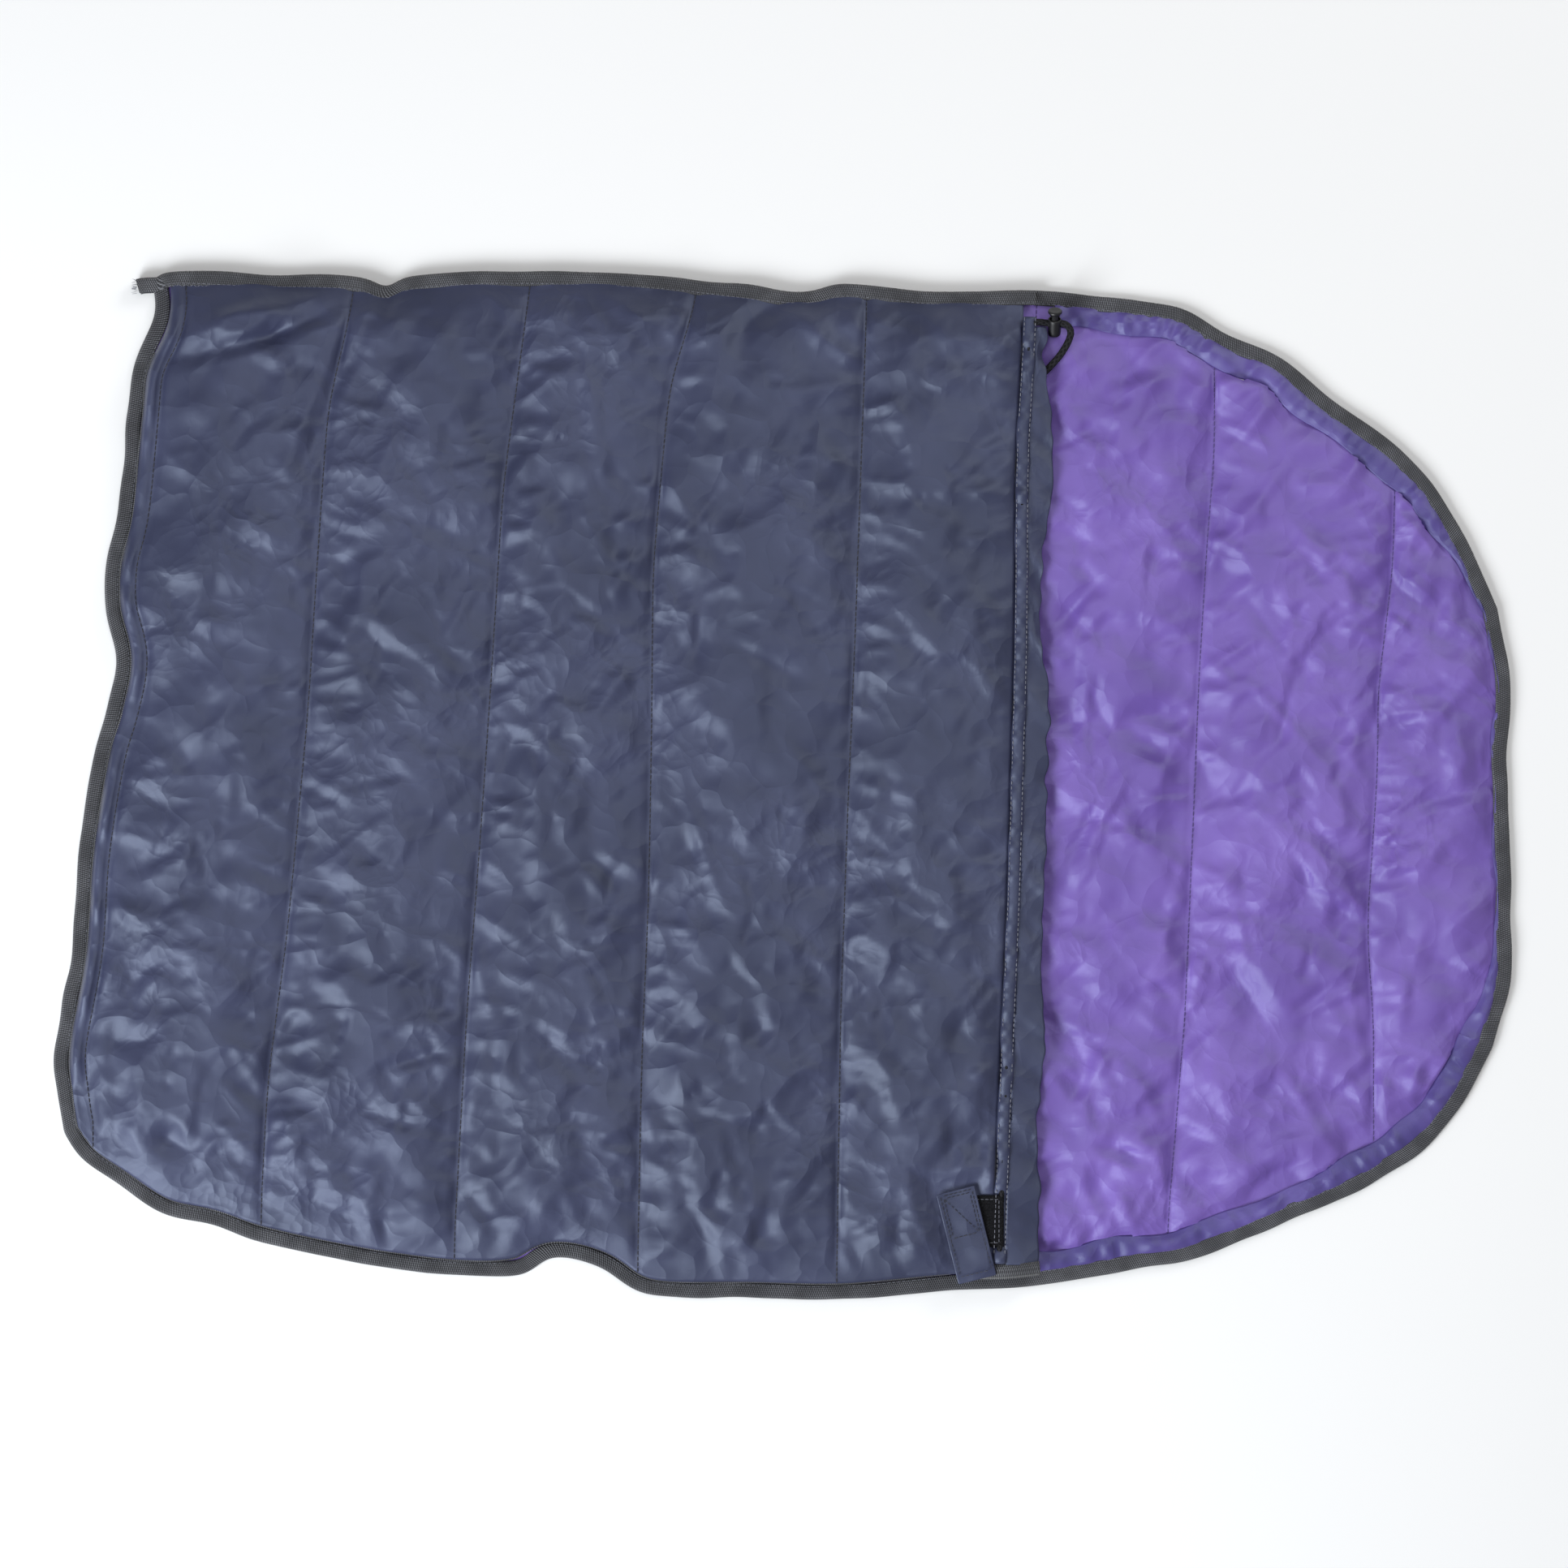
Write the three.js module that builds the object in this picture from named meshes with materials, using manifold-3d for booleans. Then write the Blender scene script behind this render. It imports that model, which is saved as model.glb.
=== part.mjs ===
// A child's quilted sleeping bag laid flat, in millimetres. +X runs from the foot to the head,
// +Y to the side where cover and base are sewn together, and +Z up from the floor.
// The base is full length with a round head. The cover lies on it, turns about the sewn side,
// and closes along the other side and the foot with a zip. A drawcord closes its mouth.
import * as THREE from "three";
import Module from "manifold-3d";

const wasm = await Module();
wasm.setup();

// Outline of the base at the outside of its edge tape, as stretches of [along, across].
const FOLD_SIDE = [
  [-452, 359], [-440, 367], [-374, 365], [-304, 363], [-284, 355], [-268, 363], [-200, 367],
  [-96, 364], [9, 353], [44, 358], [113, 352], [183, 353], [252, 346], [287, 340], [322, 320],
  [357, 305], [391, 276], [426, 252], [461, 221], [479, 194], [497, 160], [512, 125],
];
const ZIP_SIDE = [
  [-516, -250], [-502, -270], [-478, -287], [-444, -309], [-409, -317], [-374, -329],
  [-304, -344], [-235, -353], [-190, -352], [-165, -340], [-131, -347], [-96, -367], [-26, -369],
  [44, -370], [113, -364], [183, -360], [252, -348], [287, -343], [322, -331], [357, -316],
  [391, -302], [426, -285], [464, -258], [491, -223], [508, -189],
];
const FOOT_END = [
  [-250, -516], [-223, -520], [-188, -522], [-119, -510], [-49, -505], [20, -494], [55, -484],
  [90, -478], [125, -486], [160, -485], [194, -477], [264, -470], [299, -466], [333, -451],
  [358, -452],
];
const HEAD_END = [
  [-189, 508], [-154, 519], [-119, 522], [-14, 520], [20, 518], [55, 522], [90, 519], [125, 512],
];

// Quilting seams across the bag: where each meets the zip side and the fold side.
const SEAM_SPAN = 350;
const BASE_SEAMS = [
  [-374, -307], [-236, -180], [-106, -62], [38, 60], [160, 182], [275, 310], [423, 441],
];
const COVER_SEAMS = BASE_SEAMS.slice(0, 4);
// The cover's mouth: the near side of the drawcord casing, and the flap's free edge, as [y, x].
const MOUTH = [[-350, 149], [-293, 151], [-194, 155], [-78, 160], [96, 165], [235, 166], [336, 172]];
const FLAP_EDGE = [
  [-336, 182], [-290, 184], [-249, 181], [-194, 187], [-135, 185], [57, 190], [111, 183],
  [170, 186], [212, 193], [275, 192], [297, 186], [324.5, 188.5],
];

// Heights.
const BASE_THIN = 3.9;
const BASE_THICK = 10;
const COVER_FLOOR = 16;
const COVER_THIN = 3.8;
const COVER_THICK = 14;
const CLOTH = 0.8;
const GAP = 0.3;
const RIM_STEP = 1.3;

// Edge tape: webbing folded over the rim.
const TAPE_REACH = 11;
const TAPE_THICK = 0.8;
const TAPE_LOW = RIM_STEP - GAP - TAPE_THICK;
const RIM_INSET = 1.3;
const RIM_END = 12.5;
const FILL_START = 15;
const FOLD_TAPE_TOP = 10;
const COVER_INSET = 12;
const HEAD_FLAT = 32;

// Hinge line of the cover, and where the moving part of the cover starts beside it.
const HINGE_Y = 353;
const HINGE_Z = 15;
const COVER_START = HINGE_Y - 17;

// Zip: its straight stretch along the side, then round the corner and up the foot.
const ZIP_START = new THREE.Vector2(145, -343);
const ZIP_TURN = new THREE.Vector2(-375, -309);
const ZIP_CORNER = [[-501, -190], [-497, -222], [-484, -248], [-462, -270], [-430, -291], [-400, -303]];
const ZIP_FOOT_INSET = 19;
const ZIP_FOOT_TOP = 322;
const ZIP_TAPE = 14;
const ZIP_FLAT = 22;
const ZIP_MID = 9.9;

// Drawcord and its lock.
const CORD_D = 5;
const CORD_Z = 19.2;
const CASING_WIDTH = 9.6;
const CASING_HEIGHT = 6.4;
const LOCK_PLACE = [194, 329.5, 17];
const LOCK_TILT = 35;
const CORD_LOOP = [
  [177.8, 328.6, 19.2], [183, 329.2, 18.2], [188.5, 328.7, 16.7], [194, 328.5, 16.3],
  [199, 328.5, 16.3], [203.5, 326.5, 16], [205.5, 321.5, 15.4], [203, 314, 14.6],
  [198, 306, 13.6], [192, 299, 13.2], [186, 293, 13.2], [180, 287, 13.2],
];

// Hook-and-loop tab at the zip side of the mouth.
const PATCH = { x: 131, y: -312.5, width: 37, length: 37 };
const TAB = { x: 138, y: -351.5, width: 28, length: 63, lean: 14 };
const PATCH_Z = COVER_FLOOR + COVER_THIN + GAP;

const SLATE = { color: 0x53576f, roughness: 0.42 };
const VIOLET = { color: 0x7c66b8, roughness: 0.45 };
const WADDING = { color: 0xf0f0ec, roughness: 0.95 };
const TAPE = { color: 0x3c3e45, roughness: 0.85 };
const BLACK_CLOTH = { color: 0x17171b, roughness: 0.9 };
const BLACK_PLASTIC = { color: 0x1a1b1d, roughness: 0.4 };
const METAL = { color: 0x8d8f93, roughness: 0.35, metalness: 1 };

const bag = new THREE.Group();

function add(name, geometry, finish, parent = bag) {
  const mesh = new THREE.Mesh(geometry, new THREE.MeshStandardMaterial(finish));
  mesh.name = name;
  parent.add(mesh);
}

// Straight-line reading of a list of [along, value].
function read(list, at) {
  let k = 1;
  while (k < list.length - 1 && list[k][0] < at) k += 1;
  const [a, b] = [list[k - 1], list[k]];
  const share = THREE.MathUtils.clamp((at - a[0]) / (b[0] - a[0]), 0, 1);
  return a[1] + share * (b[1] - a[1]);
}

function closed(positions, triangles) {
  const geometry = new THREE.BufferGeometry();
  geometry.setAttribute("position", new THREE.Float32BufferAttribute(positions, 3));
  geometry.setIndex(triangles);
  geometry.computeVertexNormals();
  return geometry;
}

// A sheet or slab between two heights over a grid of stations (foot to head) by lines (+Y).
function slab(grid, low, high) {
  const columns = grid.length;
  const rows = grid[0].length;
  const positions = [];
  for (const height of [low, high])
    for (const column of grid)
      for (const point of column) positions.push(point.x, point.y, height(point));
  const at = (layer, i, j) => (layer * columns + i) * rows + j;
  const triangles = [];
  const quad = (a, b, c, d) => triangles.push(a, b, c, a, c, d);
  for (let i = 0; i < columns - 1; i++)
    for (let j = 0; j < rows - 1; j++) {
      quad(at(1, i, j), at(1, i + 1, j), at(1, i + 1, j + 1), at(1, i, j + 1));
      quad(at(0, i, j), at(0, i, j + 1), at(0, i + 1, j + 1), at(0, i + 1, j));
    }
  for (let i = 0; i < columns - 1; i++) {
    const last = rows - 1;
    quad(at(0, i, 0), at(0, i + 1, 0), at(1, i + 1, 0), at(1, i, 0));
    quad(at(0, i + 1, last), at(0, i, last), at(1, i, last), at(1, i + 1, last));
  }
  for (let j = 0; j < rows - 1; j++) {
    const last = columns - 1;
    quad(at(0, 0, j + 1), at(0, 0, j), at(1, 0, j), at(1, 0, j + 1));
    quad(at(0, last, j), at(0, last, j + 1), at(1, last, j + 1), at(1, last, j));
  }
  return closed(positions, triangles);
}

// A section of [inward, z] points, given anticlockwise, carried along a flat path of [x, y]
// points. Inward is to the left of the path, and the corners are mitred.
function sweep(path, section) {
  const directions = path.slice(1).map(([x, y], k) =>
    new THREE.Vector2(x - path[k][0], y - path[k][1]).normalize());
  const positions = [];
  path.forEach(([x, y], k) => {
    const before = directions[Math.max(k - 1, 0)];
    const after = directions[Math.min(k, directions.length - 1)];
    const along = before.clone().add(after).normalize();
    const mitre = 1 / along.dot(after);
    for (const [inward, z] of section)
      positions.push(x - along.y * inward * mitre, y + along.x * inward * mitre, z);
  });
  const size = section.length;
  const last = (path.length - 1) * size;
  const triangles = [];
  for (let k = 0; k < path.length - 1; k++)
    for (let a = 0; a < size; a++) {
      const b = (a + 1) % size;
      const [here, there] = [k * size, (k + 1) * size];
      triangles.push(there + b, there + a, here + a, there + b, here + a, here + b);
    }
  const contour = section.map(([inward, z]) => new THREE.Vector2(inward, z));
  for (const [a, b, c] of THREE.ShapeUtils.triangulateShape(contour, [])) {
    triangles.push(last + a, last + b, last + c);
    triangles.push(a, c, b);
  }
  return closed(positions, triangles);
}

function tube(points, diameter, steps) {
  const ring = new THREE.Shape();
  ring.absarc(0, 0, diameter / 2, 0, 2 * Math.PI);
  const route = new THREE.CatmullRomCurve3(points.map((p) => new THREE.Vector3(...p)));
  return new THREE.ExtrudeGeometry(ring, { steps, curveSegments: 4, extrudePath: route });
}

function extrude(outline, depth) {
  const shape = new THREE.Shape(outline.map(([x, y]) => new THREE.Vector2(x, y)));
  return new THREE.ExtrudeGeometry(shape, { depth, bevelEnabled: false });
}

function plate(width, length, thickness) {
  return new THREE.BoxGeometry(width, length, thickness).translate(0, length / 2, thickness / 2);
}

// manifold-3d joins and cuts.
function solid(geometry) {
  const flat = geometry.index ? geometry.toNonIndexed() : geometry;
  const corners = new Map();
  const vertices = [];
  const triangles = [];
  const place = flat.getAttribute("position");
  for (let k = 0; k < place.count; k++) {
    const point = [place.getX(k), place.getY(k), place.getZ(k)];
    const key = point.map((value) => Math.round(value * 1e4)).join();
    if (!corners.has(key)) {
      corners.set(key, corners.size);
      vertices.push(...point);
    }
    triangles.push(corners.get(key));
  }
  const mesh = new wasm.Mesh({
    numProp: 3,
    vertProperties: new Float32Array(vertices),
    triVerts: new Uint32Array(triangles),
  });
  return new wasm.Manifold(mesh);
}

function fromSolid(made) {
  const mesh = made.getMesh();
  return closed(Array.from(mesh.vertProperties), Array.from(mesh.triVerts));
}

function cylinder(top, bottom, height, from, sides = 24) {
  return new THREE.CylinderGeometry(top, bottom, height, sides)
    .rotateX(Math.PI / 2)
    .translate(0, 0, from + height / 2);
}

// Zip line across the bag at x, along its straight stretch and round its corner.
const zipSlope = (ZIP_TURN.y - ZIP_START.y) / (ZIP_TURN.x - ZIP_START.x);
function zipY(x) {
  if (x < ZIP_TURN.x) return read([...ZIP_CORNER.slice(1), [ZIP_TURN.x, ZIP_TURN.y]], x);
  return ZIP_START.y + zipSlope * (x - ZIP_START.x);
}

// Stations of a quilted pad. Each has its x at any y, its rim level and its fullness.
const straight = ([low, high]) => (y) => low + ((high - low) * (y + SEAM_SPAN)) / (2 * SEAM_SPAN);
function channels(curves) {
  const stations = [];
  curves.slice(1).forEach((right, k) => {
    const left = curves[k];
    stations.push({ x: left, rim: 1, full: 0 });
    for (const share of [0.25, 0.75])
      stations.push({ x: (y) => left(y) * (1 - share) + right(y) * share, rim: 1, full: 1 });
  });
  return stations;
}

const MIDDLE_LINES = [0.1, 0.35, 0.6, 0.9];

// A grid of stations by lines. Lines run at distances from the two long sides, then by shares.
function padGrid(stations, bottomLines, topLines) {
  return stations.map((station) => {
    const yAt = (line) => {
      let y = 0;
      for (let k = 0; k < 6; k++) y = line(station.x(y));
      return y;
    };
    const low = bottomLines.map((line) => ({ y: yAt(line.at), rim: line.rim, full: 0 }));
    const high = topLines.map((line) => ({ y: yAt(line.at), rim: line.rim, full: 0 }));
    const [from, to] = [low[low.length - 1].y, high[0].y];
    const middle = MIDDLE_LINES.map((share) => ({ y: from + (to - from) * share, rim: 1, full: 1 }));
    return [...low, ...middle, ...high].map((line) => ({
      x: station.x(line.y),
      y: line.y,
      rim: Math.min(station.rim, line.rim),
      full: station.full * line.full,
    }));
  });
}

// Base.
const MOUTH_X = 190;
const footEdge = (inset) => (y) => read(FOOT_END, y) + inset;
const headEdge = (inset) => (y) => read(HEAD_END, y) - inset;
// Insets from the long sides are square to the edge, so they grow where the edge runs steeply.
function steepness(list, x) {
  const [first, last] = [list[0][0], list[list.length - 1][0]];
  const room = Math.min(x - first, last - x);
  if (room <= 0) return 1;
  const reach = Math.min(room, 12);
  return Math.hypot(1, (read(list, x + reach) - read(list, x - reach)) / (2 * reach));
}
const zipEdge = (inset) => (x) => read(ZIP_SIDE, x) + inset * steepness(ZIP_SIDE, x);
const foldEdge = (inset) => (x) => read(FOLD_SIDE, x) - inset * steepness(FOLD_SIDE, x);
function baseZipFlat(x) {
  const rim = zipEdge(HEAD_FLAT)(x);
  return x < MOUTH_X ? Math.max(rim, zipY(x) + ZIP_FLAT) : rim;
}
const rimStations = (edge) => [RIM_INSET, RIM_END, FILL_START].map((inset, k) =>
  ({ x: edge(inset), rim: k === 2 ? 1 : 0, full: 0 }));
const rimLines = (edge) => [RIM_INSET, RIM_END, FILL_START].map((inset, k) =>
  ({ at: edge(inset), rim: k === 2 ? 1 : 0 }));

const footFlat = footEdge(ZIP_FOOT_INSET + ZIP_FLAT);
const headFlat = headEdge(HEAD_FLAT);
const baseStations = [
  ...rimStations(footEdge),
  ...channels([footFlat, ...BASE_SEAMS.map(straight), headFlat]),
  { x: headFlat, rim: 1, full: 0 },
  ...rimStations(headEdge).reverse(),
];
const baseGrid = padGrid(
  baseStations,
  [...rimLines(zipEdge), { at: baseZipFlat, rim: 1 }],
  [{ at: foldEdge(HEAD_FLAT), rim: 1 }, ...rimLines(foldEdge).reverse()],
);
const baseInner = baseGrid.slice(2, -2).map((column) => column.slice(2, -2));
const baseLow = (p) => RIM_STEP * (1 - p.rim);
const baseHigh = (p) => BASE_THIN + (BASE_THICK - BASE_THIN) * p.full;
add("base_shell", slab(baseGrid, baseLow, (p) => baseLow(p) + CLOTH), SLATE);
add("base_lining", slab(baseGrid, (p) => baseHigh(p) - CLOTH, baseHigh), VIOLET);
const inCloth = CLOTH + GAP;
add("base_fill", slab(baseInner, () => inCloth, (p) => baseHigh(p) - inCloth), WADDING);

// Edge tape of the base. Its path is the pad's own rim, once round from the foot.
const place = (p) => [p.x, p.y];
const lastColumn = baseGrid.length - 1;
const lastLine = baseGrid[0].length - 1;
const footRim = baseGrid[0].map(place).reverse().slice(1);
const zipRim = baseGrid.map((column) => place(column[0])).slice(1);
const headRim = baseGrid[lastColumn].map(place).slice(1);
const foldRim = baseGrid.map((column) => place(column[lastLine])).reverse().slice(1);
const headFold = foldRim.filter(([x]) => x > MOUTH_X);
const bagFold = foldRim.filter(([x]) => x <= MOUTH_X);
function tapeSection(low, high) {
  const [out, reach] = [-RIM_INSET, TAPE_REACH - RIM_INSET];
  const t = TAPE_THICK;
  return [
    [out, low], [reach, low], [reach, low + t], [out + t, low + t],
    [out + t, high - t], [reach, high - t], [reach, high], [out, high],
  ];
}
const baseTape = tapeSection(TAPE_LOW, BASE_THIN + GAP + TAPE_THICK);
add("base_edge_tape", sweep([...footRim.slice(2), ...zipRim, ...headRim, ...headFold], baseTape), TAPE);
const tail = [-463, 361];
add("fold_edge_tape", sweep([...bagFold, tail], tapeSection(TAPE_LOW, FOLD_TAPE_TOP)), TAPE);

// The cover's own edge, sewn down under the fold side's tape.
const sewnGrid = bagFold.slice(0, -2).reverse().map(([x, y]) =>
  [{ x, y: HINGE_Y - 15 }, { x, y: y - 0.2 }]);
add("cover_sewn_edge", slab(sewnGrid, () => 6, () => 8), SLATE);

// Gathered strip of shell cloth round the head, between the tape and the lining's stitched edge.
const headRound = [...zipRim.filter(([x]) => x > 200), ...headRim, ...headFold.slice(0, -1)];
add("head_rim_strip", sweep(headRound, [[12, 4.2], [27, 4.2], [27, 6], [12, 6]]), SLATE);

// Cover.
const mouthX = (y) => read(MOUTH, y);
const coverFoot = (inset) => footEdge(inset + COVER_INSET);
const coverZip = (inset) => zipEdge(inset + COVER_INSET);
const TAB_ROOM = 36;
const coverZipFlat = (x) => zipY(x) + ZIP_FLAT + TAB_ROOM * THREE.MathUtils.smoothstep(x, 60, 100);
const mouthStop = (y) => mouthX(y) - 1.6;
const coverGrid = padGrid(
  [
    ...rimStations(coverFoot),
    ...channels([footEdge(ZIP_FOOT_INSET + ZIP_FLAT), ...COVER_SEAMS.map(straight), mouthStop]),
    { x: mouthStop, rim: 1, full: 0 },
  ],
  [...rimLines(coverZip), { at: coverZipFlat, rim: 1 }],
  [{ at: () => COVER_START, rim: 1 }],
);
const coverLow = (p) => COVER_FLOOR + RIM_STEP * (1 - p.rim);
const coverHigh = (p) => COVER_FLOOR + COVER_THIN + (COVER_THICK - COVER_THIN) * p.full;
const cover = new THREE.Group();
bag.add(cover);
add("cover_lining", slab(coverGrid, coverLow, (p) => coverLow(p) + CLOTH), VIOLET, cover);
add("cover_shell", slab(coverGrid, (p) => coverHigh(p) - CLOTH, coverHigh), SLATE, cover);
const coverInner = coverGrid.slice(2).map((column) => column.slice(2));
const coverFillLow = () => COVER_FLOOR + inCloth;
add("cover_fill", slab(coverInner, coverFillLow, (p) => coverHigh(p) - inCloth), WADDING, cover);

const coverFootRim = coverGrid[0].map(place).reverse();
const coverZipRim = coverGrid.map((column) => place(column[0])).slice(1);
const tapeEnd = [[181, zipEdge(COVER_INSET + RIM_INSET)(181)]];
const coverTape = tapeSection(COVER_FLOOR + TAPE_LOW, COVER_FLOOR + COVER_THIN + GAP + TAPE_THICK);
add("cover_edge_tape", sweep([...coverFootRim, ...coverZipRim, ...tapeEnd], coverTape), TAPE, cover);

// Mouth: a sewn casing with the drawcord in it, and the loose flap beyond it.
const mouthPath = FLAP_EDGE.map(([y]) => [mouthX(y), y]).reverse();
const [casingLow, casingHigh] = [COVER_FLOOR, COVER_FLOOR + CASING_HEIGHT];
const fold = 0.7;
const [slitLow, slitHigh] = [casingLow + 2 * fold, casingLow + 2 * fold + GAP];
const hem = [
  [0, casingLow], [CASING_WIDTH, casingLow], [CASING_WIDTH, casingHigh], [0, casingHigh],
  [0, slitHigh], [fold, slitHigh], [fold, casingHigh - fold],
  [CASING_WIDTH - fold, casingHigh - fold], [CASING_WIDTH - fold, casingLow + fold],
  [fold, casingLow + fold], [fold, slitLow], [0, slitLow],
];
add("drawcord_casing", sweep(mouthPath, hem), SLATE, cover);
const flapGrid = [0, 1].map((side) => FLAP_EDGE.map(([y, edge]) =>
  ({ x: side ? edge : mouthX(y) + CASING_WIDTH + GAP, y })));
add("mouth_flap", slab(flapGrid, () => 18.6, () => 19.8), SLATE, cover);

const cordInCasing = [...mouthPath].reverse().map(([x, y]) => [x + CASING_WIDTH / 2, y, CORD_Z]);
add("drawcord", tube(cordInCasing, CORD_D, 18), BLACK_CLOTH, cover);
add("drawcord_loop", tube(CORD_LOOP, CORD_D, 30), BLACK_CLOTH, cover);

// Cord lock: a sprung button in a barrel, both with a cross hole for the cord.
const lock = new THREE.Group();
lock.position.set(...LOCK_PLACE);
lock.rotation.x = THREE.MathUtils.degToRad(LOCK_TILT - 90);
cover.add(lock);
const CORD_HOLE_Z = -1.2;
const BUTTON_TRAVEL = 3.5;
const crossHole = new THREE.CylinderGeometry(2.95, 2.95, 30, 20)
  .rotateZ(Math.PI / 2).translate(0, 0, CORD_HOLE_Z);
const barrel = solid(cylinder(4.8, 4.5, 13.5, -11))
  .subtract(solid(cylinder(3.8, 3.8, 14, -9.8)))
  .subtract(solid(crossHole));
add("cord_lock_barrel", fromSolid(barrel), BLACK_PLASTIC, lock);
const buttonProfile = [
  [0, -5], [3.6, -5], [3.6, 6.3], [5, 7.6], [5, 9], [4.2, 9.5], [0, 9.5],
].map(([r, z]) => new THREE.Vector2(r, z));
const buttonBody = new THREE.LatheGeometry(buttonProfile, 24).rotateX(Math.PI / 2);
const slot = new THREE.BoxGeometry(30, 5.7, 5.8 + BUTTON_TRAVEL)
  .translate(0, 0, CORD_HOLE_Z + BUTTON_TRAVEL / 2);
add("cord_lock_button", fromSolid(solid(buttonBody).subtract(solid(slot))), BLACK_PLASTIC, lock);
const springProfile = [[2.4, -9.5], [3.3, -9.5], [3.3, -5.4], [2.4, -5.4], [2.4, -9.5]]
  .map(([r, z]) => new THREE.Vector2(r, z));
add("cord_lock_spring", new THREE.LatheGeometry(springProfile, 16).rotateX(Math.PI / 2), METAL, lock);

// Hook-and-loop: the loop patch on the cover, and the tab with its hook patch underneath.
const patchShape = plate(PATCH.width, PATCH.length, 1)
  .translate(PATCH.x, PATCH.y - PATCH.length / 2, PATCH_Z);
add("loop_patch", patchShape, BLACK_CLOTH, cover);
const tab = new THREE.Group();
tab.position.set(TAB.x, TAB.y, 0);
tab.rotation.z = THREE.MathUtils.degToRad(TAB.lean);
cover.add(tab);
add("tab_hook_patch", plate(20, 30, 0.8).translate(0, 31, PATCH_Z + 1.3), BLACK_CLOTH, tab);
add("tab_strap", plate(TAB.width, TAB.length, 1).translate(0, 0, PATCH_Z + 2.4), SLATE, tab);

// Zip. Both tapes fold away from the row of teeth, one to the base and one to the cover.
const zipAngle = Math.atan(zipSlope);
const alongZip = (distance) => [
  ZIP_START.x + distance * Math.cos(zipAngle),
  ZIP_START.y + distance * Math.sin(zipAngle),
];
const footZip = [ZIP_FOOT_TOP, 264, 194, 125, 90, 55, 20, -49, -119].map((y) =>
  [read(FOOT_END, y) + ZIP_FOOT_INSET, y]);
const zipRun = [...footZip, ...ZIP_CORNER, [ZIP_TURN.x, ZIP_TURN.y]];
const tapeBend = [[0.3, 0.4], [4.7, 0.4], [9.2, 5.1], [ZIP_TAPE, 5.1]];
const tapeBack = [[ZIP_TAPE, 5.7], [8.9, 5.7], [4.4, 1], [0.3, 1]];
const mirrored = (points) => points.map(([inward, z]) => [inward, -z]).reverse();
const aboutMid = (points) => points.map(([inward, z]) => [inward, ZIP_MID + z]);
const coverSide = [...tapeBend, ...tapeBack];
const teeth = [[-3.2, 0.2], [0, 0.2], [0, 2.5], [-3.2, 2.5]];
const longRun = [...zipRun, alongZip(22)];
const shortRun = [...zipRun, alongZip(-2)];
add("zip_tape_base", sweep(longRun, aboutMid(mirrored(coverSide))), TAPE);
add("zip_teeth_base", sweep([...zipRun, alongZip(16.5)], aboutMid(mirrored(teeth))), BLACK_PLASTIC);
add("zip_tape_cover", sweep(shortRun, aboutMid(coverSide)), TAPE, cover);
add("zip_teeth_cover", sweep(shortRun, aboutMid(teeth)), BLACK_PLASTIC, cover);

// The zip starts in a box on the base, which takes the pin at the end of the cover's tape.
const zipTop = new THREE.Group();
zipTop.position.set(zipRun[0][0], zipRun[0][1] + 0.4, ZIP_MID);
bag.add(zipTop);
add("zip_box", new THREE.BoxGeometry(5, 8, 3.2).translate(1.2, 4, -1.9), METAL, zipTop);
const zipPin = new THREE.BoxGeometry(2.2, 8, 1.8).translate(1.6, 4, 1.4).translate(
  zipRun[0][0], zipRun[0][1] + 0.4, ZIP_MID);
add("zip_pin", zipPin, METAL, cover);

// Slider: a folded channel round both rows of teeth, with a bridge for the pull.
const slider = new THREE.Group();
slider.position.set(ZIP_START.x, ZIP_START.y, ZIP_MID);
slider.rotation.z = zipAngle;
bag.add(slider);
const channel = [
  [-4.9, -4.2], [1.4, -4.2], [1.4, -1.4], [0.4, -1.4], [0.4, -3], [-3.7, -3],
  [-3.7, 3], [0.4, 3], [0.4, 1.4], [1.4, 1.4], [1.4, 4.2], [-4.9, 4.2],
];
const channelBody = extrude(channel, 14).rotateX(Math.PI / 2).rotateZ(Math.PI / 2).translate(1, 0, 0);
const staple = [
  [4, -4.6], [4, -7.9], [11, -7.9], [11, -4.6], [9.8, -4.6], [9.8, -6.6], [5.2, -6.6], [5.2, -4.6],
];
const bridge = extrude(staple, 2).translate(0, 0, -1);
add("zip_slider", fromSolid(solid(channelBody).add(solid(bridge))), METAL, slider);
const pullPlate = new THREE.BoxGeometry(27, 1, 4.6).translate(20.5, -5.8, 0);
const pullEye = new THREE.BoxGeometry(4.8, 3, 2.6).translate(10.3, -5.8, 0);
add("zip_pull", fromSolid(solid(pullPlate).subtract(solid(pullEye))), METAL, slider);
const stopBlock = new THREE.BoxGeometry(2, 3.6, 3).translate(18, -1.9, -1.9);
add("zip_top_stop", stopBlock, METAL, slider);

export default bag;
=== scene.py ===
"""A child's quilted sleeping bag, laid flat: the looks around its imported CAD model.

Plan sizes and heights are in millimetres, as in the CAD source, and turn into metres when a
mesh is made. +X runs from the foot to the head, and +Y to the side where cover and base are sewn.
"""

import math

import bpy
import numpy as np
from mathutils import Matrix, Vector


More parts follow.
